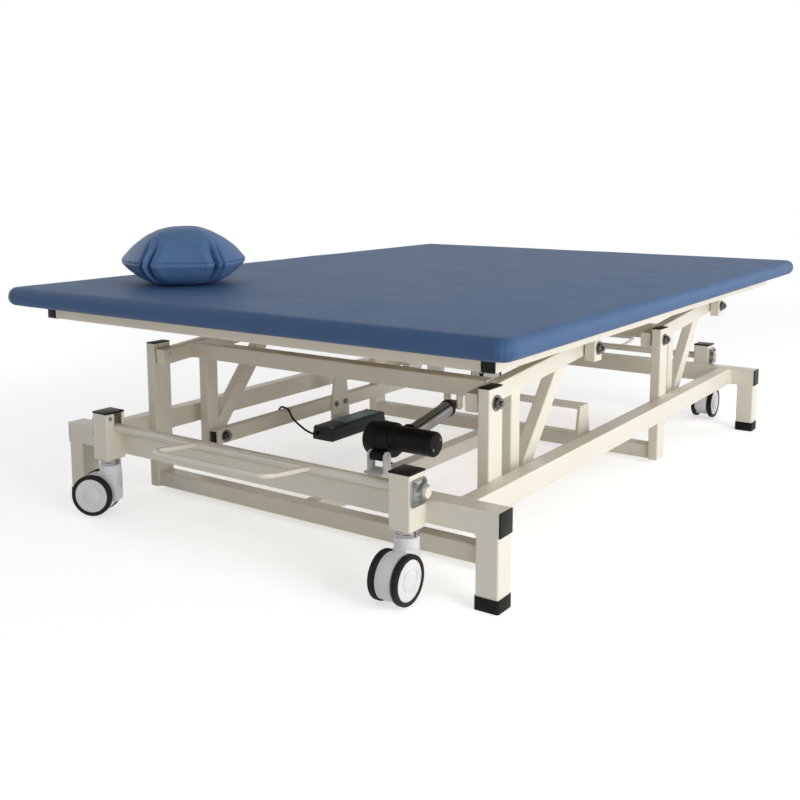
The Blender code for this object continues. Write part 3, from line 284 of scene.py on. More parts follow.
# bump is the effect, its values, its strength and its depth
finishes = {
    "creamPaint": {"base": (0.83, 0.79, 0.69), "tone": (0.77, 0.73, 0.62), "toneScale": 5.0,
                   "rough": (0.30, 0.44), "bump": ("peel", {"Scale": 520.0}, 0.05, 0.0006),
                   "grime": ((0.42, 0.38, 0.30), {"Reach": 0.14, "Amount": 0.14}),
                   "sockets": {"Coat Weight": 0.15, "Coat Roughness": 0.25}},
    # painted shade: the pad's copy of the blue vinyl is darker than the pillow's, for the dimly lit top of the
    # pad
    "padVinylShadedCopy": {"base": (0.064, 0.130, 0.262), "tone": (0.061, 0.124, 0.250), "toneScale": 9.0,
                  "rough": (0.50, 0.55), "bump": ("vinylGrain", {}, 0.20, 0.0006),
                  "sockets": {"Specular IOR Level": 0.13}},
    # painted light: the pillow's copy of the same blue vinyl is lighter than the pad's
    "pillowVinylLitCopy": {"base": (0.090, 0.178, 0.350), "tone": (0.086, 0.170, 0.336), "toneScale": 9.0,
                    "rough": (0.50, 0.55), "bump": ("vinylGrain", {}, 0.20, 0.0006),
                    "sockets": {"Specular IOR Level": 0.22}},
    "zincPlate": {"base": (0.42, 0.42, 0.40), "tone": (0.26, 0.27, 0.26), "toneScale": 60.0,
                  "rough": (0.28, 0.46), "bump": ("peel", {"Scale": 260.0}, 0.06, 0.0004),
                  "sockets": {"Metallic": 0.9}},
    "boltSteel": {"base": (0.24, 0.24, 0.235), "tone": (0.11, 0.11, 0.105), "toneScale": 110.0,
                  "rough": (0.16, 0.30), "bump": ("peel", {"Scale": 260.0}, 0.06, 0.0004),
                  "sockets": {"Metallic": 0.9}},
    "brightSteel": {"base": (0.36, 0.36, 0.37), "tone": (0.28, 0.28, 0.29), "toneScale": 30.0,
                    "rough": (0.10, 0.20), "bump": ("brushed", {}, 0.03, 0.0003),
                    "sockets": {"Metallic": 1.0}},
    "greyTube": {"base": (0.36, 0.37, 0.37), "tone": (0.28, 0.29, 0.29), "toneScale": 22.0,
                 "rough": (0.28, 0.40), "bump": ("brushed", {"Along": 500.0, "Across": 20.0}, 0.04, 0.0003),
                 "sockets": {"Metallic": 0.75}},
    "blackPlastic": {"base": (0.005, 0.005, 0.005), "tone": (0.009, 0.009, 0.009), "toneScale": 18.0,
                     "rough": (0.40, 0.54), "bump": ("peel", {"Scale": 900.0}, 0.10, 0.0004),
                     "sockets": {"Specular IOR Level": 0.16}},
    "darkPlastic": {"base": (0.016, 0.019, 0.019), "tone": (0.024, 0.028, 0.028), "toneScale": 24.0,
                    "rough": (0.44, 0.58), "bump": ("peel", {"Scale": 800.0}, 0.12, 0.0004),
                    "sockets": {"Specular IOR Level": 0.30}},
    "tealPanel": {"base": (0.015, 0.135, 0.145), "tone": (0.012, 0.110, 0.120), "toneScale": 30.0,
                  "rough": (0.30, 0.42), "bump": ("peel", {"Scale": 900.0}, 0.06, 0.0003)},
    "footRubber": {"base": (0.005, 0.005, 0.004), "tone": (0.009, 0.009, 0.008), "toneScale": 40.0,
                   "rough": (0.55, 0.72), "bump": ("peel", {"Scale": 420.0}, 0.16, 0.0006),
                   "grime": ((0.12, 0.11, 0.09), {"Reach": 0.03, "Amount": 0.14}),
                   "sockets": {"Specular IOR Level": 0.14}},
    "tyreRubber": {"base": (0.008, 0.008, 0.008), "tone": (0.013, 0.012, 0.012), "toneScale": 46.0,
                   "rough": (0.50, 0.68), "bump": ("peel", {"Scale": 380.0}, 0.14, 0.0006),
                   "grime": ((0.12, 0.11, 0.10), {"Reach": 0.10, "Amount": 0.16}),
                   "sockets": {"Specular IOR Level": 0.16}},
    "whitePlastic": {"base": (0.83, 0.83, 0.86), "tone": (0.77, 0.77, 0.80), "toneScale": 26.0,
                     "rough": (0.26, 0.38), "bump": ("peel", {"Scale": 600.0}, 0.04, 0.0004),
                     "grime": ((0.45, 0.43, 0.40), {"Reach": 0.08, "Amount": 0.14})},
    "plyBoard": {"base": (0.46, 0.33, 0.19), "tone": (0.30, 0.20, 0.11), "toneScale": 9.0,
                 "toneGroup": "woodGrain", "rough": (0.60, 0.78),
                 "bump": ("woodGrain", {"Scale": 30.0}, 0.15, 0.0008)},
}


def mixColour(tree, factor, first, second):
    first, second = [(*value, 1) if isinstance(value, tuple) else value for value in (first, second)]
    return addNode(tree, "ShaderNodeMix", {0: factor, 6: first, 7: second}, data_type="RGBA").outputs[2]


def placeGroup(tree, name, values):
    return addNode(tree, "ShaderNodeGroup", values, node_tree=effects[name]).outputs[0]


def makeFinish(name, spec):
    material = bpy.data.materials.new(name)
    material.use_nodes = True
    tree = material.node_tree
    tone = placeGroup(tree, spec.get("toneGroup", "mottle"), {"Scale": spec["toneScale"]})
    colour = mixColour(tree, tone, spec["base"], spec["tone"])
    if "grime" in spec:
        dust, values = spec["grime"]
        colour = mixColour(tree, placeGroup(tree, "floorGrime", values), colour, dust)
    effect, values, strength, depth = spec["bump"]
    height = placeGroup(tree, effect, values)
    bump = addNode(tree, "ShaderNodeBump", {"Height": height, "Strength": strength, "Distance": depth})
    sockets = {**spec.get("sockets", {}), "Base Color": colour, "Normal": bump.outputs["Normal"],
               "Roughness": mapNode(tree, tone, 0.0, 1.0, *spec["rough"])}
    for label, value in sockets.items():
        feed(tree, tree.nodes["Principled BSDF"].inputs[label], value)
    return material


finish = {name: makeFinish(name, spec) for name, spec in finishes.items()}
print("finishes made:", len(finish))


# mesh helpers

meshSpec = {
    "sharp": 35,                 # degrees past which an edge stays sharp
    "merge": 0.000005,
    "nodeMerge": 0.00001,
    "nodeSharp": 38,
    "nodeFlat": 0.5,             # degrees below which a node's faces are joined
    "nearFace": 0.0005,          # slack when the points of a face are picked out
}
nearFace = meshSpec["nearFace"]


def smoothByAngle(mesh, angle=meshSpec["sharp"]):
    mesh.shade_smooth()
    mesh.set_sharp_from_angle(angle=math.radians(angle))
    return mesh


def meshOf(bm, angle=meshSpec["sharp"]):
    bmesh.ops.remove_doubles(bm, verts=bm.verts, dist=meshSpec["merge"])
    bmesh.ops.recalc_face_normals(bm, faces=bm.faces)
    mesh = bpy.data.meshes.new("piece")
    bm.to_mesh(mesh)
    bm.free()
    return smoothByAngle(mesh, angle)


def bakedMesh(item):
    # what its modifiers make of the item, which is then removed
    bpy.context.view_layer.update()
    made = item.evaluated_get(bpy.context.evaluated_depsgraph_get())
    mesh = bpy.data.meshes.new_from_object(made)
    bpy.data.objects.remove(item, do_unlink=True)
    return mesh


def showPiece(name, mesh, body, material, replaces=()):
    piece = putInScene(name, mesh)
    mesh.name = name
    if material is not None:
        mesh.materials.clear()
        mesh.materials.append(finish[material])
    if body is not None:
        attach(piece, body)
    if replaces:
        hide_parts(*replaces)
    return piece


def addTurned(bm, profile, place=Matrix(), steps=56):
    # profile of (radius, height) points turned about Z, then placed
    before = set(bm.verts)
    line = [bm.verts.new((radius, 0, height)) for radius, height in profile]
    edges = [bm.edges.new(pair) for pair in zip(line, line[1:])]
    if profile[0][0] > 0 and profile[-1][0] > 0:
        edges.append(bm.edges.new((line[-1], line[0])))
    bmesh.ops.spin(bm, geom=line + edges, cent=(0, 0, 0), axis=(0, 0, 1), angle=2 * math.pi,
                   steps=steps, use_merge=True)
    bmesh.ops.transform(bm, matrix=place, verts=[v for v in bm.verts if v not in before])


def turnedMesh(profile, place=Matrix(), steps=56, angle=meshSpec["sharp"]):
    bm = bmesh.new()
    addTurned(bm, profile, place, steps)
    return meshOf(bm, angle)


def blockMesh(*boxes):
    # boxes of low corner, high corner and rounding
    bm = bmesh.new()
    for low, high, soft in boxes:
        low, high = Vector(low), Vector(high)
        made = bmesh.ops.create_cube(bm, size=1.0)["verts"]
        bmesh.ops.scale(bm, vec=high - low, verts=made)
        bmesh.ops.translate(bm, vec=(low + high) / 2, verts=made)
        if soft:
            edges = dict.fromkeys(edge for vertex in made for edge in vertex.link_edges)
            bmesh.ops.bevel(bm, geom=list(edges), offset=soft, segments=3, profile=0.5, affect="EDGES")
    return meshOf(bm)


def arcPoints(centre, radius, start, end, steps):
    turn = [math.radians(start + (end - start) * i / steps) for i in range(steps + 1)]
    return [(centre[0] + radius * math.cos(a), centre[1] + radius * math.sin(a)) for a in turn]


def rolledProfile(bore, outer, low, high, soft, steps, waist=()):
    # a disc or ring with its rims rounded, and other points between them
    upper = arcPoints((outer - soft, high - soft), soft, 90, 0, steps)
    lower = arcPoints((outer - soft, low + soft), soft, 0, -90, steps)
    return [(bore, high), *upper, *waist, *lower, (bore, low)]


def span(values):
    values = list(values)
    return min(values), max(values)


def nodePoints(node, place):
    # the node's vertices in the frame of place
    toLocal = place.inverted()
    return [toLocal @ v.co for v in nodes[node].data.vertices]


def smoothCopy(node, name, body, material):
    bm = bmesh.new()
    bm.from_mesh(nodes[node].data)
    bmesh.ops.remove_doubles(bm, verts=bm.verts, dist=meshSpec["nodeMerge"])
    flat = math.radians(meshSpec["nodeFlat"])
    bmesh.ops.dissolve_limit(bm, angle_limit=flat, verts=bm.verts, edges=bm.edges)
    showPiece(name, meshOf(bm, meshSpec["nodeSharp"]), body, material, [node])


def fusedMesh(parts, cut):
    # union of closed meshes, less the cutter
    whole, *tools = [putInScene("fuse", mesh) for mesh in (*parts, cut)]
    for tool in tools:
        step = whole.modifiers.new("fuse", "BOOLEAN")
        step.object = tool
        step.operation = "DIFFERENCE" if tool is tools[-1] else "UNION"
        step.solver = "EXACT"
    mesh = bakedMesh(whole)
    for tool in tools:
        bpy.data.objects.remove(tool, do_unlink=True)
    return smoothByAngle(mesh)


# geometry node trees for what repeats

boltSizes = ("Head Radius", "Head Height", "Washer Radius", "Washer Thickness", "Stud Radius", "Stud Length")
boltSpec = {
    "pivot": (0.0121, 0.0085, 0.0168, 0.0032, 0.0058, 0.0045),
    "flange": (0.0046, 0.0036, 0.0066, 0.0010, 0.0024, 0.0016),
    "bridge": (0.0070, 0.0048, 0.0100, 0.0016, 0.0036, 0.0020),
    "postScrew": (0.0042, 0.0024, 0.0052, 0.0006, 0.0020, 0.0004),
    "gearScrew": (0.0030, 0.0022, 0.0040, 0.0005, 0.0014, 0.0003),
    "motorScrew": (0.0026, 0.0012, 0.0034, 0.0004, 0.0012, 0.0003),
    "boxScrew": (0.0024, 0.0011, 0.0032, 0.0003, 0.0011, 0.0003),
}
beadSizes = ("Bead Radius", "Ripple Length", "Ripple Depth")
beadSpec = {
    "weld": (0.0021, 0.0048, 0.14),
    "welt": (0.0010, 0.011, 0.06),
}


def geometryTree(name, labels):
    tree = bpy.data.node_groups.new(name, "GeometryNodeTree")
    addSocket = tree.interface.new_socket
    addSocket("Geometry", in_out="INPUT", socket_type="NodeSocketGeometry")
    addSocket("Geometry", in_out="OUTPUT", socket_type="NodeSocketGeometry")
    for label in labels:
        addSocket(label, in_out="INPUT", socket_type="NodeSocketFloat")
    addSocket("Material", in_out="INPUT", socket_type="NodeSocketMaterial")
    given = addNode(tree, "NodeGroupInput").outputs
    return tree, given, [given[label] for label in labels]


def closeTree(tree, given, geometry):
    whole = addNode(tree, "GeometryNodeRealizeInstances", {0: geometry})
    coat = addNode(tree, "GeometryNodeSetMaterial",
                   {"Geometry": whole.outputs[0], "Material": given["Material"]})
    addNode(tree, "NodeGroupOutput", {0: coat.outputs[0]})
    return tree


def discNode(tree, sides, radius, depth, lift):
    disc = addNode(tree, "GeometryNodeMeshCylinder", {"Vertices": sides, "Radius": radius, "Depth": depth})
    offset = addNode(tree, "ShaderNodeCombineXYZ", {"Z": lift})
    inputs = {"Geometry": disc.outputs["Mesh"], "Translation": offset.outputs[0]}
    return addNode(tree, "GeometryNodeTransform", inputs).outputs[0]


def buildBoltTree():
    tree, given, sizes = geometryTree("boltHeads", boltSizes)
    headRadius, height, washerRadius, washer, studRadius, studLength = sizes
    headLift = mathNode(tree, "ADD", washer, mathNode(tree, "MULTIPLY", height, 0.5))
    headTop = mathNode(tree, "ADD", washer, height)
    chamfer = mathNode(tree, "MULTIPLY", headRadius, 0.84)
    bolt = addNode(tree, "GeometryNodeJoinGeometry")
    for disc in ((28, washerRadius, washer, mathNode(tree, "MULTIPLY", washer, 0.5)),
                 (6, headRadius, height, headLift),
                 (24, chamfer, mathNode(tree, "MULTIPLY", height, 0.14), headTop),
                 (20, studRadius, mathNode(tree, "MULTIPLY", studLength, 2.0), headTop)):
        feed(tree, bolt.inputs[0], discNode(tree, *disc))
    aim = addNode(tree, "GeometryNodeInputNamedAttribute", {"Name": "aim"}, data_type="FLOAT_VECTOR")
    turn = addNode(tree, "FunctionNodeAlignRotationToVector", {"Vector": aim.outputs["Attribute"]}, axis="Z")
    inputs = {"Points": given["Geometry"], "Instance": bolt.outputs[0], "Rotation": turn.outputs[0]}
    spread = addNode(tree, "GeometryNodeInstanceOnPoints", inputs)
    return closeTree(tree, given, spread.outputs[0])


def buildBeadTree():
    # a rippled bead along every edge loop of the input
    tree, given, (radius, ripple, depth) = geometryTree("beads", beadSizes)
    line = addNode(tree, "GeometryNodeMeshToCurve", {0: given["Geometry"]})
    stride = mathNode(tree, "MULTIPLY", ripple, 0.25)
    even = addNode(tree, "GeometryNodeResampleCurve", {"Curve": line.outputs[0], "Length": stride},
                   mode="LENGTH")
    along = addNode(tree, "GeometryNodeSplineParameter").outputs["Length"]
    turns = mathNode(tree, "MULTIPLY", mathNode(tree, "DIVIDE", along, ripple), 2 * math.pi)
    wave = mathNode(tree, "MULTIPLY", mathNode(tree, "SINE", turns), depth)
    swell = mathNode(tree, "MULTIPLY", mathNode(tree, "ADD", wave, 1.0), radius)
    ring = addNode(tree, "GeometryNodeCurvePrimitiveCircle", {"Resolution": 8, "Radius": 1.0})
    inputs = {"Curve": even.outputs[0], "Profile Curve": ring.outputs[0], "Scale": swell, "Fill Caps": True}
    tube = addNode(tree, "GeometryNodeCurveToMesh", inputs)
    return closeTree(tree, given, tube.outputs[0])


trees = {"boltHeads": buildBoltTree(), "beads": buildBeadTree()}


def growTree(name, treeName, seedMesh, values, body, material, angle=meshSpec["sharp"]):
    tree = trees[treeName]
    seed = putInScene(name + "Seed", seedMesh)
    modifier = seed.modifiers.new("grow", "NODES")
    modifier.node_group = tree
    given = {**values, "Material": finish[material]}
    for item in tree.interface.items_tree:
        if item.item_type == "SOCKET" and item.in_out == "INPUT" and item.name in given:
            modifier[item.identifier] = given[item.name]
    showPiece(name, smoothByAngle(bakedMesh(seed), angle), body, None)


def setBolts(name, size, spots, body, material="zincPlate"):
    # spots of (place, direction out of the face)
    mesh = bpy.data.meshes.new("seeds")
    mesh.from_pydata([tuple(place) for place, aim in spots], [], [])
    aims = mesh.attributes.new("aim", "FLOAT_VECTOR", "POINT")
    for item, (place, aim) in zip(aims.data, spots):
        item.vector = aim
    growTree(name, "boltHeads", mesh, dict(zip(boltSizes, boltSpec[size])), body, material)


def loopSeeds(loops, closed=True):
    points = []
    edges = []
    for loop in loops:
        first = len(points)
        points += [tuple(p) for p in loop]
        last = len(points) - 1
        edges += [(i, i + 1) for i in range(first, last)]
        if closed:
            edges.append((last, first))
    mesh = bpy.data.meshes.new("seeds")
    mesh.from_pydata(points, edges, [])
    return mesh


def layWelds(name, loops, body, closed=True):
    sizes = dict(zip(beadSizes, beadSpec["weld"]))
    growTree(name, "beads", loopSeeds(loops, closed), sizes, body, "creamPaint")


# finishes on the solids that stay as they are

keptSolids = {
    "creamPaint": ["near_end_frame", "far_end_frame", "left_side_beam", "right_side_beam", "near_post_frame",
                   "far_post_frame", "centre_low_bar", "near_swing_frame", "far_swing_frame", "left_tie_rod",
                   "right_tie_rod", "bridge", "top_frame"] + [corner + "_caster_post" for corner in corners],
    "plyBoard": ["bed_board"],
}

for material, names in keptSolids.items():
    for name in names:
        nodes[name].data.materials.clear()
        nodes[name].data.materials.append(finish[material])

for end in endSign:
    smoothCopy(end + "_pedal_shaft", end + "FootPedal", end + "_pedal", "creamPaint")
for corner in corners:
    smoothCopy(corner + "_flange_bearing", corner + "ShaftFlange", "base", "zincPlate")
    smoothCopy(corner + "_foot_cap", corner + "FootCup", "base", "footRubber")
smoothCopy("rear_actuator_bracket", "rearActuatorEars", "base", "whitePlastic")
smoothCopy("piston_rod", "pistonRod", "actuator_rod", "brightSteel")
print("solids dressed")


# casters

casterSpec = {
    "steps": 72,
    "tread": 0.0030,              # rounding of the tyre's shoulders
    "fenderEdge": 0.0030,
    "capDome": ((0.0, 0.0), (0.007, 0.0002), (0.0125, 0.0009)),     # radii and how far each lies below the top
    "capRing": (0.021, 0.026),    # radii of the sunk ring in a wheel cap
    "ringDepth": 0.0012,
    "ringSlope": 0.0006,
    "capLip": 0.0016,
    "neckLength": 0.0235, "neckEdge": 0.002,
    "columnBottom": 0.036, "columnEdge": 0.005,
    "columnShare": (0.9, 0.7, 0.95),     # of the neck behind, the trail in front and the width beside
    "collarEdge": 0.0015, "collarGroove": 0.001,
}


def wheelPlace(corner):
    axle = jointAt[corner + "_roll"]
    axis = jointAxis[corner + "_roll"]
    return Matrix.Translation(axle) @ axis.to_track_quat("Z", "X").to_matrix().to_4x4()


def makeTyres(corner):
    place = wheelPlace(corner)
    for label in ("tyre_a", "tyre_b"):
        node = corner + "_" + label
        local = nodePoints(node, place)
        low, high = span(p.z for p in local)
        bore, outer = span(p.xy.length for p in local)
        profile = rolledProfile(bore, outer, low, high, casterSpec["tread"], 6)
        mesh = turnedMesh(profile, place, casterSpec["steps"])
        name = corner + label.title().replace("_", "")
        showPiece(name, mesh, corner + "_wheel", "tyreRubber", [node])


def makeHub(corner):
    place = wheelPlace(corner)
    local = nodePoints(corner + "_wheel_hub", place)
    top = max(p.z for p in local)
    rim = max(p.xy.length for p in local)
    axle = min(p.xy.length for p in local if p.xy.length > 0.004)
    rimHeights = [p.z for p in local if p.xy.length > 0.9 * rim]
    inner = min(abs(z) for z in rimHeights)
    shoulder = max(rimHeights)
    lip = casterSpec["capLip"]
    ringIn, ringOut = casterSpec["capRing"]
    slope = casterSpec["ringSlope"]
    face = shoulder + lip
    sunk = face - casterSpec["ringDepth"]
    half = [(radius, top - drop) for radius, drop in casterSpec["capDome"]]
    half += [(ringIn, face + 0.0008), (ringIn + slope, sunk), (ringOut - slope, sunk), (ringOut, face + 0.0003),
             (rim - 2 * lip, face)]
    half += arcPoints((rim - lip, shoulder - 0.0002), lip, 80, 0, 4) + [(rim, inner), (axle, inner)]
    profile = half + [(radius, -height) for radius, height in reversed(half)]
    mesh = turnedMesh(profile, place, casterSpec["steps"], 30)
    showPiece(corner + "WheelCaps", mesh, corner + "_wheel", "whitePlastic",
              [corner + "_wheel_hub"])


def makeHousing(corner):
    swivel = jointAt[corner + "_swivel"]
    axle = jointAt[corner + "_roll"]
    trail = (axle - swivel).xy.length
    angle = math.atan2(axle.y - swivel.y, axle.x - swivel.x)
    place = Matrix.Translation((swivel.x, swivel.y, 0)) @ Matrix.Rotation(angle, 4, "Z")
    local = nodePoints(corner + "_caster_housing", place)
    skirt, top = span(p.z for p in local)
    width = max(abs(p.y) for p in local if p.z < axle.z)
    radius = max(p.x for p in local) - trail
    neck = max(p.xy.length for p in local if p.z > top - 2 * nearFace)
    neckBottom = top - casterSpec["neckLength"]
    edge = casterSpec["neckEdge"]
    back, front, beside = casterSpec["columnShare"]
    disc = rolledProfile(0, radius, -width, width, casterSpec["fenderEdge"], 4)
    across = Matrix.Translation((trail, 0, axle.z)) @ Matrix.Rotation(math.radians(90), 4, "X")
    fender = turnedMesh(disc, across, casterSpec["steps"])
    column = blockMesh(((-back * neck, -beside * width, casterSpec["columnBottom"]),
                        (front * trail, beside * width, neckBottom + 2 * edge), casterSpec["columnEdge"]))
    collar = turnedMesh([(0, top), (neck - edge, top), (neck, top - edge), (neck, neckBottom + edge),
                         (neck - 2 * edge, neckBottom - 0.0005), (0, neckBottom - 0.0005)])
    belowSkirt = blockMesh(((-0.2, -0.1, -0.1), (0.3, 0.1, skirt), 0))
    mesh = fusedMesh([fender, column, collar], belowSkirt)
    mesh.transform(place)
    showPiece(corner + "CasterFork", mesh, corner + "_housing", "whitePlastic",
              [corner + "_caster_housing"])


def makeStem(corner):
    low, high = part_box(corner + "_caster_stem")
    centre = (low + high) / 2
    place = Matrix.Translation((centre.x, centre.y, 0))
    collar = (high.x - low.x) / 2
    points = nodePoints(corner + "_caster_stem", place)
    shank = max(p.xy.length for p in points if p.z > high.z - nearFace)
    spigot = max(p.xy.length for p in points if p.z < low.z + nearFace)
    bottom, top = span(p.z for p in points if p.xy.length > 0.98 * collar)
    middle = (bottom + top) / 2
    edge = casterSpec["collarEdge"]
    cut = casterSpec["collarGroove"]
    profile = [(0, high.z), (shank - cut / 2, high.z), (shank, high.z - cut / 2), (shank, top),
               (collar - edge, top), (collar, top - edge), (collar, middle + cut), (collar - cut, middle),
               (collar, middle - cut), (collar, bottom + cut), (collar - cut, bottom), (spigot, bottom),
               (spigot, low.z), (0, low.z)]
    showPiece(corner + "CasterStem", turnedMesh(profile, place), corner + "_stem", "brightSteel",
              [corner + "_caster_stem"])


for corner in corners:
    makeTyres(corner)
    makeHub(corner)
    makeHousing(corner)
    makeStem(corner)
print("casters made")


# actuator, in its own frame: Y along the rod from the rear pin

actuatorSpec = {
    "steps": 64,
    "drumEdge": 0.009, "seamRing": 0.0012, "seamWidth": 0.004,
    "noseEdge": 0.002, "noseStep": 0.0015, "noseBand": (0.012, 0.014), "noseRoot": 0.019,
    "eyeEdge": 0.001, "pinHole": 0.0063,
    "drumScrews": (0.030, (0.6, 2.2, 3.8, 5.3), 0.0002),     # radius and angles of their circle, depth sunk
    "motorEdge": 0.008, "bossRadius": 0.010, "bossStep": 0.001,
    "motorRing": 0.0012, "ringsFromEnds": (0.022, 0.016),
    "motorScrews": (0.019, (0.4, 0.4 + math.pi), 0.0011),
    "endRing": 0.012, "endRingEdge": 0.002,
    "grooves": (45, 135, 225, 315),                   # degrees round the outer tube
    "grooveWidth": 0.0046, "grooveDepth": 0.0026,
    "landSteps": 14,
}
rodAxis = jointAxis["actuator_stroke"]
rodTilt = Matrix.Rotation(math.atan2(rodAxis.z, rodAxis.y), 4, "X")
actuatorFrame = Matrix.Translation(jointAt["actuator_tilt"]) @ rodTilt
acrossX = Matrix.Rotation(math.radians(90), 4, "Y")
alongY = Matrix.Rotation(math.radians(-90), 4, "X")


def faceScrews(name, size, circle, x, centreY, centreZ, outward):
    radius, angles, sunk = circle
    aim = actuatorFrame.to_3x3() @ Vector((outward, 0, 0))
    places = [Vector((x - outward * sunk, centreY + radius * math.cos(a), centreZ + radius * math.sin(a)))
              for a in angles]
    setBolts(name, size, [(actuatorFrame @ place, aim) for place in places], "actuator")


def makeGearHousing():
    points = nodePoints("gear_housing", actuatorFrame)
    left = min(p.x for p in points)
    right = max(p.x for p in points if p.z > 0.05)
    top = max(p.z for p in points)
    rear, front = span(p.y for p in points)
    faceRim = [p for p in points if p.x < left + nearFace]
    centreY = sum(p.y for p in faceRim) / len(faceRim)
    centreZ = sum(p.z for p in faceRim) / len(faceRim)
    radius = top - centreZ
    barrel = max(p.x for p in points if p.y > front - nearFace)
    middle = (left + right) / 2
    seam = actuatorSpec["seamWidth"] / 2
    proud = radius + actuatorSpec["seamRing"]
    waist = [(radius, middle + seam), (proud, middle + 0.7 * seam), (proud, middle - 0.7 * seam),
             (radius, middle - seam)]
    profile = rolledProfile(0, radius, left, right, actuatorSpec["drumEdge"], 5, waist)
    drum = turnedMesh(profile, Matrix.Translation((0, centreY, centreZ)) @ acrossX, actuatorSpec["steps"])
    edge = actuatorSpec["noseEdge"]
    slim = barrel - actuatorSpec["noseStep"]
    band, step = [front - depth for depth in actuatorSpec["noseBand"]]
    root = centreY + actuatorSpec["noseRoot"]
    nose = turnedMesh([(0, front), (barrel - edge, front), (barrel, front - edge), (barrel, band), (slim, step),
                       (slim, root), (0, root)], alongY)
    half = max(p.x for p in points if p.y < 0)
    soft = actuatorSpec["eyeEdge"]
    eye = turnedMesh(rolledProfile(0, -rear, -half, half, soft, 1), acrossX, 40)
    neck = blockMesh(((soft - half, 0, soft + rear), (half - soft, centreY, -rear - soft), 2 * soft))
    pin = actuatorSpec["pinHole"]
    hole = turnedMesh([(0, 2 * half), (pin, 2 * half), (pin, -2 * half), (0, -2 * half)], acrossX, 32)
    mesh = fusedMesh([drum, nose, neck, eye], hole)
    mesh.transform(actuatorFrame)
    showPiece("gearHousing", mesh, "actuator", "blackPlastic", ["gear_housing"])
    faceScrews("gearHousingScrews", "gearScrew", actuatorSpec["drumScrews"], left, centreY, centreZ, -1)


def makeMotor():
    points = nodePoints("drive_motor", actuatorFrame)
    start, end = span(p.x for p in points)
    centreY = sum(span(p.y for p in points)) / 2
    bottom, top = span(p.z for p in points)
    centreZ = (bottom + top) / 2
    radius = (top - bottom) / 2
    soft = actuatorSpec["motorEdge"]
    boss = actuatorSpec["bossRadius"]
    step = actuatorSpec["bossStep"]
    face = end - step
    profile = [(0, end), (boss, end), (boss + step / 2, face), (radius - soft, face)]
    profile += arcPoints((radius - soft, face - soft), soft, 80, 0, 6)
    sink = actuatorSpec["motorRing"]
    fromEnd, fromStart = actuatorSpec["ringsFromEnds"]
    for ring in (end - fromEnd, start + fromStart):
        profile += [(radius, ring + sink), (radius - sink, ring + sink / 3), (radius - sink, ring - sink / 3),
                    (radius, ring - sink)]
    profile += [(radius, start), (0, start)]
    place = actuatorFrame @ Matrix.Translation((0, centreY, centreZ)) @ acrossX
    mesh = turnedMesh(profile, place, actuatorSpec["steps"], 30)
    showPiece("driveMotor", mesh, "actuator", "blackPlastic", ["drive_motor"])
    faceScrews("motorEndScrews", "motorScrew", actuatorSpec["motorScrews"], end, centreY, centreZ, 1)


def addLand(bm, radius, low, high, start, end):
    # the raised strip between two grooves of the outer tube
    inner = radius - actuatorSpec["grooveDepth"] - 0.0004
    steps = actuatorSpec["landSteps"]
    turns = [low + (high - low) * i / steps for i in range(steps + 1)]
    rim = [(radius, t) for t in turns] + [(inner, t) for t in reversed(turns)]
    first, second = [[bm.verts.new((r * math.cos(t), y, r * math.sin(t))) for r, t in rim]
                     for y in (start, end)]
    for i in range(len(rim)):
        bm.faces.new((first[i - 1], first[i], second[i], second[i - 1]))
    bm.faces.new(first)
    bm.faces.new(second)


def makeOuterTube():
    points = nodePoints("outer_tube", actuatorFrame)
    start, end = span(p.y for p in points)
    ring = max(abs(p.x) for p in points)
    radius = max(abs(p.x) for p in points if p.y < start + nearFace)
    bore = min(math.hypot(p.x, p.z) for p in points if p.y > end - nearFace)
    floor = radius - actuatorSpec["grooveDepth"]
    place = actuatorFrame @ alongY
    # painted shade: the sleeve seen at the floor of the grooves is dark plastic, so the grooves read dark
    grooveShadeSleeve = turnedMesh([(bore, end - 0.0006), (floor, end - 0.0006), (floor, start), (bore, start)], place,
                      actuatorSpec["steps"])
    showPiece("outerTubeGrooveShade", grooveShadeSleeve, "actuator", "darkPlastic")
    tube = bmesh.new()
    half = math.degrees(actuatorSpec["grooveWidth"] / 2 / radius)
    grooves = actuatorSpec["grooves"]
    for first, second in zip(grooves, grooves[1:] + (grooves[0] + 360,)):
        addLand(tube, radius, math.radians(first + half), math.radians(second - half), start, end - 0.004)
    bmesh.ops.transform(tube, matrix=actuatorFrame, verts=tube.verts)
    showPiece("outerTube", meshOf(tube), "actuator", "greyTube", ["outer_tube"])
    back = end - actuatorSpec["endRing"]
    edge = actuatorSpec["endRingEdge"]
    inner = radius - edge / 2
    lid = end - 1.5 * edge
    collar = turnedMesh([(bore, end), (ring - edge, end), (ring, end - edge), (ring, back + edge / 2),
                         (ring - edge / 2, back), (inner, back), (inner, lid), (bore, lid)], place,
                        actuatorSpec["steps"])
    showPiece("outerTubeCollar", collar, "actuator", "blackPlastic")


makeGearHousing()
makeMotor()
makeOuterTube()
print("actuator made")


# control box and the two leads

controlSpec = {
    "seam": 0.62,                 # part of the height below the lid
    "seamGap": 0.0006,
    "baseRound": 0.004, "lidRound": 0.007,
    "panelInset": 0.011, "panelStart": 0.30, "panelProud": 0.0012, "panelRound": 0.0009,
    "screwInset": 0.008,
}


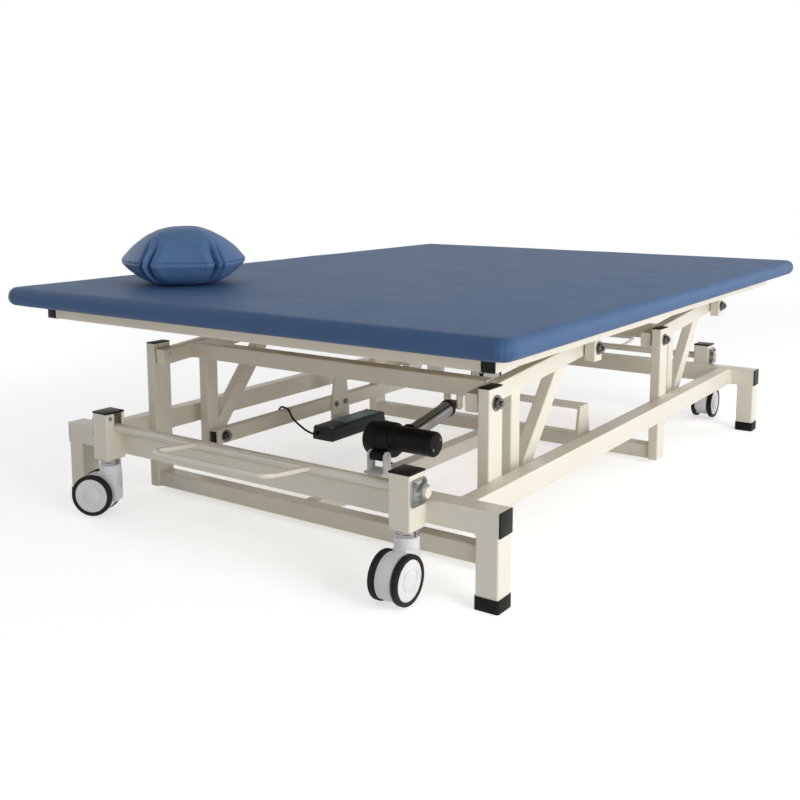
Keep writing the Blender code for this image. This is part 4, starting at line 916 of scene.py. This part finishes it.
def makeControlBox():
    low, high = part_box("control_box")
    seam = low.z + controlSpec["seam"] * (high.z - low.z)
    gap = controlSpec["seamGap"]
    mesh = blockMesh((low, (high.x, high.y, seam - gap), controlSpec["baseRound"]),
                     ((low.x + gap, low.y + gap, seam - 0.006), (high.x - gap, high.y - gap, high.z),
                      controlSpec["lidRound"]))
    showPiece("controlBox", mesh, "lift_links", "darkPlastic", ["control_box"])
    inset = controlSpec["panelInset"]
    panelLow = (low.x + inset, low.y + controlSpec["panelStart"] * (high.y - low.y), high.z - 0.001)
    panelHigh = (high.x - inset, high.y - 2 * inset, high.z + controlSpec["panelProud"])
    panel = blockMesh((panelLow, panelHigh, controlSpec["panelRound"]))
    showPiece("controlBoxPanel", panel, "lift_links", "tealPanel")
    edge = controlSpec["screwInset"]
    spots = [(Vector((x, y, high.z - 0.0002)), Vector((0, 0, 1))) for x in (low.x + edge, high.x - edge)
             for y in (low.y + edge, high.y - edge)]
    setBolts("controlBoxScrews", "boxScrew", spots, "lift_links")


leadSpec = {"radius": 0.003, "bootLength": 0.007, "bootRadius": 0.0062, "sides": 12}


def routeThrough(points, perSpan=5):
    # a smooth curve through the points, with its first and last spans straight
    knots = [Vector(p) for p in points]
    route = [knots[0]]
    for a, b, c, d in zip(knots, knots[1:], knots[2:], knots[3:]):
        for step in range(perSpan):
            t = step / perSpan
            bend = (2 * a - 5 * b + 4 * c - d) * t ** 2 + (3 * b - a - 3 * c + d) * t ** 3
            route.append(0.5 * (2 * b + (c - a) * t + bend))
    return route + knots[-2:]


def tubeAlong(route):
    curve = bpy.data.curves.new("lead", "CURVE")
    curve.dimensions = "3D"
    curve.bevel_depth = leadSpec["radius"]
    curve.bevel_resolution = leadSpec["sides"] // 4
    curve.use_fill_caps = True
    spline = curve.splines.new("POLY")
    spline.points.add(len(route) - 1)
    for item, point in zip(spline.points, route):
        item.co = (*point, 1)
    bm = bmesh.new()
    bm.from_mesh(bakedMesh(putInScene("lead", curve)))
    return meshOf(bm, 50)


def bootMesh(*ends):
    # a boot at each end, given as (place, direction)
    wide = leadSpec["bootRadius"]
    slim = leadSpec["radius"] + 0.0006
    length = leadSpec["bootLength"]
    profile = [(0, length), (slim, length), (slim + 0.0004, 0.7 * length), (wide - 0.0016, 0.36 * length),
               (wide - 0.0012, 0.0018), (wide, 0.0014), (wide, 0.0002), (0, 0.0002)]
    bm = bmesh.new()
    for place, toward in ends:
        turn = Vector(toward).to_track_quat("Z", "Y").to_matrix().to_4x4()
        addTurned(bm, profile, Matrix.Translation(place) @ turn, 28)
    return meshOf(bm)


def makeLead(name, points, node, blendEnds=None):
    route = routeThrough(points)
    body = None if blendEnds else "lift_links"
    lead = showPiece(name, tubeAlong(route), body, "blackPlastic", [node])
    if blendEnds:
        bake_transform(lead)
    return route


def makeActuatorLead():
    face = min(p.x for p in nodePoints("gear_housing", actuatorFrame))
    barLow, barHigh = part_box("centre_low_bar")
    x, y, z = actuatorFrame @ Vector((face - 0.0003, 0.0677, 0.0484))
    entry = (barLow.z + barHigh.z) / 2
    points = [(x, y, z), (x - 0.008, y, z), (x - 0.022, y + 0.008, z - 0.004),
              (x - 0.040, y + 0.024, z - 0.026), (x - 0.044, y + 0.044, z - 0.060),
              (x - 0.030, y + 0.062, z - 0.096), (x + 0.004, y + 0.074, entry + 0.004),
              (barLow.x - 0.008, y + 0.078, entry), (barLow.x - 0.0003, y + 0.078, entry)]
    route = makeLead("actuatorLead", points, "actuator_lead", (Vector(points[1]), Vector(points[5])))
    toLeft = (-1, 0, 0)
    showPiece("actuatorLeadBoot", bootMesh((route[0], toLeft)), "actuator", "blackPlastic")
    showPiece("lowBarGrommet", bootMesh((route[-1], toLeft)), "base", "blackPlastic")


tubeSpec = {
    "tieFaces": (0.410, 0.440),   # inner and outer face of a tie rod, out from the middle
    "post": 0.028,                # width of a lift post
    "topTube": (0.030, 0.032),    # width and height of the top frame's side tubes
}


def makeBoxLead():
    boxLow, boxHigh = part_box("control_box")
    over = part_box("left_tie_rod")[1].z + leadSpec["radius"] + 0.0006
    link = jointAt["links_level"].z
    inner, outer = [-face for face in tubeSpec["tieFaces"]]
    x = boxLow.x
    z = (boxLow.z + boxHigh.z) / 2
    y = boxLow.y - 0.018
    points = [(x + 0.020, boxLow.y - 0.0003, z), (x + 0.020, boxLow.y - 0.008, z), (x + 0.016, y, z + 0.002),
              (x - 0.004, y - 0.011, z + 0.014), (inner + 0.028, y - 0.010, over - 0.024),
              (inner + 0.005, y - 0.004, over - 0.001), ((inner + outer) / 2, y, over + 0.003),
              (outer + 0.001, y + 0.003, over + 0.002), (outer - 0.009, y + 0.005, over - 0.007),
              (outer - 0.011, y + 0.007, link + 0.009), (outer - 0.005, y + 0.008, link),
              (outer - 0.0003, y + 0.008, link)]
    route = makeLead("controlBoxLead", points, "box_lead")
    boots = bootMesh((route[0], (0, -1, 0)), (route[-1], (-1, 0, 0)))
    showPiece("controlBoxBoots", boots, "lift_links", "blackPlastic")


makeControlBox()
makeActuatorLead()
makeBoxLead()
print("control box and leads made")


# black end caps on the open tube ends

capSpec = {"thickness": 0.0032, "round": 0.0013, "inset": 0.0004, "plugInset": 0.0042, "sink": 0.0002,
           "casterThickness": 1.4 * 0.0032, "casterOverhang": (0.0006, 0.0001)}
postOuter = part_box("right_side_beam")[0].x - 0.0003


def showCaps(name, boxes, body):
    mesh = blockMesh(*[(low, high, capSpec["round"]) for low, high in boxes])
    showPiece(name, mesh, body, "blackPlastic")


def endsOf(low, high):
    # where the caps on both ends of a tube begin and stop
    thick = capSpec["thickness"]
    sink = capSpec["sink"]
    return (low - thick, low + sink), (high - sink, high + thick)


def makeBaseCaps():
    boxes = []
    inset = capSpec["inset"]
    sink = capSpec["sink"]
    for end in endSign:
        low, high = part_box(end + "_end_frame")
        beamBottom = high.z - (high.y - low.y)
        for x0, x1 in endsOf(low.x, high.x):
            boxes.append(((x0, low.y + inset, beamBottom + inset), (x1, high.y - inset, high.z - inset)))
        low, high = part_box(end + "_post_frame")
        for side in bothSides:
            x0, x1 = sorted((side * postOuter, side * (postOuter - tubeSpec["post"])))
            boxes.append(((x0 + inset, low.y + inset, high.z - sink),
                          (x1 - inset, high.y - inset, high.z + capSpec["thickness"])))
    overX, overY = capSpec["casterOverhang"]
    for corner in corners:
        low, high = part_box(corner + "_caster_post")
        boxes.append(((low.x - overX, low.y - overY, high.z - sink),
                      (high.x + overX, high.y + overY, high.z + capSpec["casterThickness"])))
    showCaps("baseEndCaps", boxes, "base")


def makePlatformCaps():
    inset = capSpec["inset"]
    low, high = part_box("top_frame")
    wide, tall = tubeSpec["topTube"]
    showCaps("platformEndCaps", [((x0 + inset, y0, high.z - tall + inset), (x1 - inset, y1, high.z - inset))
                                 for x0, x1 in ((low.x, low.x + wide), (high.x - wide, high.x))
                                 for y0, y1 in endsOf(low.y, high.y)], "platform")


def makeTieCaps():
    boxes = []
    inset = capSpec["plugInset"]
    for side, sign in sideSign.items():
        low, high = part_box(side + "_tie_rod")
        x0, x1 = sorted(sign * face for face in tubeSpec["tieFaces"])
        for y0, y1 in endsOf(low.y, high.y):
            boxes.append(((x0 + inset, y0, low.z + inset), (x1 - inset, y1, high.z - inset)))
    showCaps("tieRodCaps", boxes, "lift_links")


makeBaseCaps()
makePlatformCaps()
makeTieCaps()
print("end caps made")


# bolts

fastenerSpec = {
    "flangeFace": 0.004, "flangeInset": 0.0085,
    "bridgeWall": 0.008, "bridgeHalfPitch": 0.022,
    "postScrew": (0.012, 0.011),  # in from the post's outer side and down from its top
}
pivotNear = jointAt["lift"]
pivotFar = jointAt["far_lever_turn"]
spacing = pivotFar.y - pivotNear.y
bracketPin = jointAt["platform_level"]
linkPin = jointAt["links_level"]


def pinSpots(pin, x, outward):
    # at both levers and on both sides of the bed
    return [(Vector((s * x, pin.y + k * spacing, pin.z)), Vector((s * outward, 0, 0)))
            for k in (0, 1) for s in bothSides]


def makeBolts():
    setBolts("postPivotBolts", "pivot", pinSpots(pivotNear, postOuter, 1), "base", "boltSteel")
    setBolts("bracketPivotBolts", "pivot", pinSpots(bracketPin, postOuter, 1), "platform", "boltSteel")
    tieInner = tubeSpec["tieFaces"][0]
    setBolts("tieRodPivotBolts", "pivot", pinSpots(linkPin, tieInner, -1), "lift_links", "boltSteel")
    flanges = []
    screws = []
    edge = fastenerSpec["flangeInset"]
    inward, down = fastenerSpec["postScrew"]
    for corner, (end, side) in corners.items():
        low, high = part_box(corner + "_flange_bearing")
        face = (low.x if side > 0 else high.x) + side * fastenerSpec["flangeFace"]
        flanges += [(Vector((face, y, z)), Vector((side, 0, 0))) for y in (low.y + edge, high.y - edge)
                    for z in (low.z + edge, high.z - edge)]
        low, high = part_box(corner + "_caster_post")
        outer = low.y if end < 0 else high.y
        inner = low.x if side > 0 else high.x
        screws.append((Vector((inner, outer - end * inward, high.z - down)), Vector((-side, 0, 0))))
    setBolts("flangeBolts", "flange", flanges, "base")
    low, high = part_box("bridge")
    middle = (low.y + high.y) / 2
    wall = high.x - fastenerSpec["bridgeWall"]
    pitch = fastenerSpec["bridgeHalfPitch"]
    legs = [(Vector((s * wall, middle + d, linkPin.z)), Vector((-s, 0, 0))) for s in bothSides
            for d in (-pitch, pitch)]
    setBolts("bridgeBolts", "bridge", legs, "lift_links")
    setBolts("casterPostScrews", "postScrew", screws, "base")


makeBolts()
print("bolts set")


# weld beads

weldSpec = {
    "sink": 0.001,                # how far a bead round a square beam lies inside its edges
    "barHalf": 0.0195,            # half the 40 mm bars, a little sunk
    "lowBarHeight": 0.020,
    "casterPost": (0.046, 0.023, 0.001),     # heights of an upright bead, down from the beam's top
    "postHalf": 0.028, "postShort": 0.004, "beamHalf": 0.025,
    "crossTube": (0.445, 0.087),             # where it meets a lever: out from the middle, along the bed
    "topHalf": (0.0145, 0.0155),
    "topInset": 0.015,
    "bracketHalf": (0.0135, 0.0205),
}


def rectLoop(centre, axis, halfFirst, halfSecond):
    # rectangle in the plane across the named axis, its halves in X, Y, Z order
    first, second = [i for i in range(3) if i != "XYZ".index(axis)]
    loop = []
    for a, b in ((-1, -1), (1, -1), (1, 1), (-1, 1)):
        point = Vector(centre)
        point[first] += a * halfFirst
        point[second] += b * halfSecond
        loop.append(point)
    return loop


def frameWelds(end):
    low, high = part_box(end + "_end_frame")
    half = (high.y - low.y) / 2
    sunk = half - weldSpec["sink"]
    legs = [(x, (low.y + high.y) / 2, high.z - 2 * half) for x in (low.x + half, high.x - half)]
    loops = [rectLoop(leg, "Z", sunk, sunk) for leg in legs]
    beamLow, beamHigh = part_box("right_side_beam")
    centre = (beamLow + beamHigh) / 2
    inner = high.y if end == "near" else low.y
    wide = (beamHigh.x - beamLow.x) / 2 - weldSpec["sink"]
    loops += [rectLoop((side * centre.x, inner, centre.z), "Y", wide, sunk) for side in bothSides]
    low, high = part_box(end + "_post_frame")
    bar = weldSpec["barHalf"]
    x = postOuter - tubeSpec["post"]
    y = (low.y + high.y) / 2
    z = low.z + weldSpec["lowBarHeight"]
    return loops + [rectLoop((side * x, y, z), "X", bar, bar) for side in bothSides]


def uprightWelds():
    lines = []
    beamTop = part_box("near_end_frame")[1].z
    for corner, (end, _) in corners.items():
        low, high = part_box(corner + "_caster_post")
        y = high.y if end < 0 else low.y
        lines += [[Vector((x, y, beamTop - down)) for down in weldSpec["casterPost"]] for x in (low.x, high.x)]
    low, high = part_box("right_side_beam")
    short = weldSpec["postShort"]
    heights = (low.z + short, high.z - weldSpec["beamHalf"], high.z - short)
    half = weldSpec["postHalf"]
    for pivot in (pivotNear, pivotFar):
        lines += [[Vector((side * low.x, y, z)) for z in heights] for side in bothSides
                  for y in (pivot.y - half, pivot.y + half)]
    return lines


def makeWelds():
    layWelds("baseFrameWelds", frameWelds("near") + frameWelds("far"), "base")
    layWelds("basePostWelds", uprightWelds(), "base", False)
    arm = bracketPin - pivotNear
    out, along = weldSpec["crossTube"]
    bar = weldSpec["barHalf"]
    for end, pivot in (("near", pivotNear), ("far", pivotFar)):
        cross = pivot + arm * (along / arm.y)
        loops = [rectLoop((side * out, cross.y, cross.z), "X", bar, bar) for side in bothSides]
        layWelds(end + "LeverWelds", loops, end + "_lever")
    low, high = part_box("top_frame")
    wide, tall = tubeSpec["topTube"]
    inset = weldSpec["topInset"]
    rows = (low.y + inset, bracketPin.y, bracketPin.y + spacing, high.y - inset)
    loops = [rectLoop((side * (high.x - wide), y, high.z - tall / 2), "X", *weldSpec["topHalf"]) for y in rows
             for side in bothSides]
    x = postOuter - tubeSpec["post"] / 2
    loops += [rectLoop((side * x, y, high.z - tall), "Z", *weldSpec["bracketHalf"]) for y in rows[1:3]
              for side in bothSides]
    layWelds("platformWelds", loops, "platform")


makeWelds()
print("welds laid")


# pad: vinyl drawn over foam and round the edge of the board

padSpec = {
    "corner": 0.034,        # plan radius
    "edge": 0.021,          # bullnose radius
    "edgeAngles": range(-84, 91, 9),
    "crown": 0.003,
    "crownRows": ((0.034, 0.12), (0.052, 0.24), (0.080, 0.38), (0.120, 0.52), (0.175, 0.66), (0.240, 0.77),
                  (0.320, 0.87), (0.410, 0.94), (0.510, 0.98), (0.610, 1.0), (0.685, 1.0)),
    "wave": 0.0009,         # unevenness of the foam
    "waveScale": 5.1,
    "sideWave": 0.0006,
    "pleats": 0.0016,       # gathers round the corners
    "pleatCount": 9,
    "pleatTop": 0.6,        # part of the half height where they end
    "pleatPull": 0.6,       # how far they lie inside the smooth corner
}


def roundedPlan(halfX, halfY, radius, perCorner=14, stepLength=0.022):
    # outline points of a rounded rectangle, anticlockwise, with how far round a corner each one is
    outline = []
    for index, (sx, sy) in enumerate(((1, 1), (-1, 1), (-1, -1), (1, -1))):
        cx = sx * (halfX - radius)
        cy = sy * (halfY - radius)
        for step in range(perCorner + 1):
            a = math.radians(90 * index + 90 * step / perCorner)
            outline.append((cx + radius * math.cos(a), cy + radius * math.sin(a), step / perCorner))
        run = 2 * (halfX - radius) if index % 2 == 0 else 2 * (halfY - radius)
        pieces = max(2, int(run / stepLength))
        x, y, _ = outline[-1]
        dx, dy = ((-1, 0), (0, -1), (1, 0), (0, 1))[index]
        outline += [(x + dx * run * i / pieces, y + dy * run * i / pieces, None) for i in range(1, pieces)]
    return outline


def insetPoint(x, y, z, bend, inset, halfX, halfY):
    # near the edge the offset is the same all round, further in the outline shrinks
    corner = padSpec["corner"]
    if inset > corner:
        return Vector((x * (halfX - inset) / halfX, y * (halfY - inset) / halfY, z))
    if bend is not None:
        cx = math.copysign(halfX - corner, x)
        cy = math.copysign(halfY - corner, y)
        a = math.atan2(y - cy, x - cx)
        return Vector((cx + (corner - inset) * math.cos(a), cy + (corner - inset) * math.sin(a), z))
    if abs(abs(x) - halfX) < 1e-6:
        x -= math.copysign(inset, x)
    if abs(abs(y) - halfY) < 1e-6:
        y -= math.copysign(inset, y)
    return Vector((x, y, z))


def makePad():
    low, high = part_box("pad")
    boardLow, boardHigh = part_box("bed_board")
    bottom = boardLow.z
    top = high.z
    centre = (low + high) / 2
    halfX = (high.x - low.x) / 2
    halfY = (high.y - low.y) / 2
    edge = padSpec["edge"]
    corner = padSpec["corner"]
    middle = (top + bottom) / 2
    rise = (top - bottom) / 2 - padSpec["crown"] / 2
    # (inset from the outline, height) from inside the board's pocket, round the edge and over the top
    tucked = halfX - boardHigh.x - 0.0006
    section = [(tucked, boardHigh.z + 0.0004), (tucked, bottom + 0.004), (tucked - 0.002, bottom + 0.0012)]
    section += [(edge - edge * math.cos(math.radians(a)), middle + rise * math.sin(math.radians(a)))
                for a in padSpec["edgeAngles"]]
    section += [(inset, middle + rise + lift * padSpec["crown"]) for inset, lift in padSpec["crownRows"]]
    plan = roundedPlan(halfX, halfY, corner)
    pleatEnd = middle + padSpec["pleatTop"] * rise
    bm = bmesh.new()
    rings = []
    for inset, z in section:
        ring = []
        for x, y, bend in plan:
            point = insetPoint(x, y, z, bend, inset, halfX, halfY)
            wave = noise.noise(Vector((point.x * padSpec["waveScale"], point.y * padSpec["waveScale"], 3.7)))
            if z > middle:
                point.z += padSpec["wave"] * wave - padSpec["wave"]
            elif z > bottom + 0.002:
                point.xy *= 1 + padSpec["sideWave"] * wave
            if bend is not None and bottom + 0.0015 < z < pleatEnd:
                gather = math.sin(bend * math.pi * padSpec["pleatCount"]) * math.sin(bend * math.pi)
                lower = (pleatEnd - z) / ((1 + padSpec["pleatTop"]) * rise)
                out = point.xy - Vector((math.copysign(halfX - corner, x), math.copysign(halfY - corner, y)))
                if out.length > 1e-5:
                    point.xy += out.normalized() * padSpec["pleats"] * (gather - padSpec["pleatPull"]) * lower
            ring.append(bm.verts.new(point + Vector((centre.x, centre.y, 0))))
        rings.append(ring)
    for first, second in zip(rings, rings[1:]):
        for i in range(len(plan)):
            bm.faces.new((first[i - 1], first[i], second[i], second[i - 1]))
    bm.faces.new(list(reversed(rings[0])))
    bm.faces.new(rings[-1])
    mesh = meshOf(bm, 75)
    # the pad wears the darker copy of the blue vinyl, painted shade for its dim top
    pad = showPiece("vinylPad", mesh, "platform", "padVinylShadedCopy", ["pad"])
    print("pad made:", len(mesh.polygons), "faces")


makePad()


# pillow: a stuffed cushion with a seam round its girth and its four corners tucked in

pillowSpec = {
    "turn": 45,               # degrees it lies askew on the pad
    "seam": 0.058,            # height of the seam above the pad
    "frontShare": 0.61,       # part of its width between two tucks
    "tipShare": 0.22,         # part of its depth at the two pointed ends
    "around": 128,
    "rows": 20,
    "voxel": 0.0045,
    "pressure": 4.0,
    "frames": 20,
    "swell": 0.006,           # most that the simulation may move a point
    "heldShare": 0.8,         # the seams lie outside this part of the plan and of the tucks' reach
    "heldWidths": (0.005, 0.010),
    "slack": 0.0012,          # unevenness of the vinyl
    "sewnFrom": (0.55, 0.25),           # part of the plan where the sewing begins, and over which it grows
    "groove": (0.0048, 0.0036),         # depth and half width
    "gathers": (0.0005, 61, 0.012),     # depth, number round the seam, reach from it
    "tuckReach": 0.056,       # how far the tucks run up and down from the seam
    "valley": 0.017,
    "ridge": 0.004,
    "pulls": (0.0011, 260, 0.030, 0.012),     # creases off the tucks: depth, rate, reach and clear middle
    "welt": beadSpec["welt"][0],
    "weltSteps": 240,
}
clothSettings = {
    "quality": 6, "mass": 0.25, "tension_stiffness": 18, "compression_stiffness": 10, "shear_stiffness": 8,
    "bending_stiffness": 0.8, "use_pressure": True, "uniform_pressure_force": pillowSpec["pressure"],
    "vertex_group_mass": "seams",
}


def pillowPlan(angle, halfWidth, halfLength):
    # radius of an octagon with rounded corners
    front = pillowSpec["frontShare"]
    tip = pillowSpec["tipShare"]
    x = abs(math.cos(angle)) / halfWidth
    y = abs(math.sin(angle)) / halfLength
    slant = ((1 - tip) * x + (1 - front) * y) / (1 - tip * front)
    return (x ** 10 + y ** 10 + slant ** 10) ** -0.1


def pillowForm(halfWidth, halfLength, height):
    seam = pillowSpec["seam"]
    around = pillowSpec["around"]
    shares = [i / pillowSpec["rows"] for i in range(1, pillowSpec["rows"] + 1)]
    rows = [(share, True) for share in shares] + [(share, False) for share in reversed(shares[:-1])]
    bm = bmesh.new()
    rings = []
    for share, upper in rows:
        ring = []
        for step in range(around):
            a = 2 * math.pi * step / around
            side = abs(math.sin(a)) ** 1.5
            reach = share * pillowPlan(a, halfWidth, halfLength)
            if upper:
                z = seam + (height - seam) * (1 - share ** (2.4 + 0.9 * side))
            else:
                z = seam * share ** (3.4 + 2.2 * side)
            ring.append(bm.verts.new((reach * math.cos(a), reach * math.sin(a), z)))
        rings.append(ring)
    crown = bm.verts.new((0, 0, height))
    foot = bm.verts.new((0, 0, 0))
    for i in range(around):
        k = (i + 1) % around
        bm.faces.new((crown, rings[0][i], rings[0][k]))
        bm.faces.new((foot, rings[-1][k], rings[-1][i]))
        for upperRing, lowerRing in zip(rings, rings[1:]):
            bm.faces.new((upperRing[i], lowerRing[i], lowerRing[k], upperRing[k]))
    holder = putInScene("pillowForm", meshOf(bm, 80))
    even = holder.modifiers.new("even", "REMESH")
    even.mode = "VOXEL"
    even.voxel_size = pillowSpec["voxel"]
    return bakedMesh(holder)


def tuckArc(x, y, halfWidth, halfLength):
    # distance round the girth from the nearest tuck, positive toward the pillow's ends
    tuck = math.atan2(halfLength, pillowSpec["frontShare"] * halfWidth)
    return (tuck - math.atan2(abs(y), abs(x))) * math.hypot(x, y)


def swellPillow(mesh, halfWidth, halfLength):
    rest = [v.co.copy() for v in mesh.vertices]
    holder = putInScene("pillowCloth", mesh)
    held = holder.vertex_groups.new(name="seams")
    share = pillowSpec["heldShare"]
    seamWidth, tuckWidth = pillowSpec["heldWidths"]
    for vertex in mesh.vertices:
        x, y, z = vertex.co
        height = abs(z - pillowSpec["seam"])
        outer = math.hypot(x, y) > share * pillowPlan(math.atan2(y, x), halfWidth, halfLength)
        nearTuck = abs(tuckArc(x, y, halfWidth, halfLength)) < tuckWidth
        onTuck = nearTuck and height < share * pillowSpec["tuckReach"]
        if outer and (height < seamWidth or onTuck):
            held.add([vertex.index], 1.0, "REPLACE")
    cloth = holder.modifiers.new("cloth", "CLOTH")
    for label, value in clothSettings.items():
        setattr(cloth.settings, label, value)
    cloth.settings.effector_weights.gravity = 0
    cloth.point_cache.frame_start = 1
    cloth.point_cache.frame_end = pillowSpec["frames"]
    scene = bpy.context.scene
    for number in range(1, pillowSpec["frames"] + 1):
        scene.frame_set(number)
    swollen = bakedMesh(holder)
    scene.frame_set(1)
    for vertex, before in zip(swollen.vertices, rest):
        moved = vertex.co - before
        if moved.length > pillowSpec["swell"]:
            vertex.co = before + moved.normalized() * pillowSpec["swell"]
    return swollen


def dip(offset, width):
    return max(0.0, 1 - abs(offset) / width) ** 1.3


def sewPillow(mesh, halfWidth, halfLength):
    # one subdivision, then the seam's groove, the tucks and the slack of the vinyl
    holder = putInScene("pillowSewn", mesh)
    fine = holder.modifiers.new("fine", "SUBSURF")
    fine.levels = fine.render_levels = 1
    sewn = bakedMesh(holder)
    normals = [Vector(n.vector) for n in sewn.vertex_normals]
    start, growth = pillowSpec["sewnFrom"]
    grooveDepth, grooveHalf = pillowSpec["groove"]
    gatherDepth, gatherRate, gatherReach = pillowSpec["gathers"]
    pullDepth, pullRate, pullReach, pullClear = pillowSpec["pulls"]
    for vertex, normal in zip(sewn.vertices, normals):
        x, y, z = vertex.co
        a = math.atan2(y, x)
        share = math.hypot(x, y) / pillowPlan(a, halfWidth, halfLength)
        slack = noise.noise(vertex.co * 15.0) + 0.6 * noise.noise(vertex.co * 38.0)
        depth = pillowSpec["slack"] * slack
        if share > start:
            h = z - pillowSpec["seam"]
            arc = tuckArc(x, y, halfWidth, halfLength) + 0.004 * noise.noise(Vector((h * 30, x * 3, y * 3)))
            girth = min(1.0, (share - start) / growth)
            depth += grooveDepth * math.exp(-(h / grooveHalf) ** 2) * girth
            gather = math.sin(a * gatherRate + 4 * slack)
            depth += gatherDepth * gather * math.exp(-abs(h) / gatherReach) * girth
            fade = max(0.0, 1 - (h / pillowSpec["tuckReach"]) ** 2) * girth
            depth += pillowSpec["valley"] * fade * (dip(arc + 0.010, 0.008) + 0.7 * dip(arc - 0.010, 0.007))
            depth -= pillowSpec["ridge"] * fade * (dip(arc, 0.007) + dip(arc + 0.032, 0.020))
            pull = math.sin(h * pullRate + 4 * noise.noise(Vector((x * 9, y * 9, 1.7))))
            clear = 1 - math.exp(-(arc / pullClear) ** 2)
            depth += pullDepth * pull * fade * math.exp(-abs(arc) / pullReach) * clear
        vertex.co -= normal * depth
        vertex.co.z = max(vertex.co.z, 0.0)
    return sewn


def seamLoop(mesh):
    tree = BVHTree.FromPolygons([v.co for v in mesh.vertices], [tuple(p.vertices) for p in mesh.polygons])
    loop = []
    for step in range(pillowSpec["weltSteps"]):
        a = 2 * math.pi * step / pillowSpec["weltSteps"]
        out = Vector((math.cos(a), math.sin(a), 0))
        hit = tree.ray_cast(Vector((0, 0, pillowSpec["seam"])) + out * 0.4, -out)[0]
        loop.append(hit - out * pillowSpec["welt"])
    return loop


def makePillow():
    low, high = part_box("pillow")
    centre = (low + high) / 2
    turn = Matrix.Rotation(math.radians(pillowSpec["turn"]), 4, "Z")
    local = nodePoints("pillow", Matrix.Translation((centre.x, centre.y, low.z)) @ turn)
    halfWidth = max(p.x for p in local)
    halfLength = max(p.y for p in local)
    mesh = pillowForm(halfWidth, halfLength, high.z - low.z - pillowSpec["swell"] / 2)
    mesh = swellPillow(mesh, halfWidth, halfLength)
    mesh = sewPillow(mesh, halfWidth, halfLength)
    welt = loopSeeds([seamLoop(mesh)])
    for item in (mesh, welt):
        item.transform(Matrix.Translation((centre.x, centre.y, low.z + 0.0002)) @ turn)
    smoothByAngle(mesh, 80)
    # the pillow and its welt wear the lighter copy of the blue vinyl, painted light beside the pad
    pillow = showPiece("vinylPillow", mesh, "platform", "pillowVinylLitCopy", ["pillow"])
    growTree("pillowWelt", "beads", welt, dict(zip(beadSizes, beadSpec["welt"])), "platform", "pillowVinylLitCopy",
             60)
    print("pillow made:", len(mesh.polygons), "faces")


makePillow()
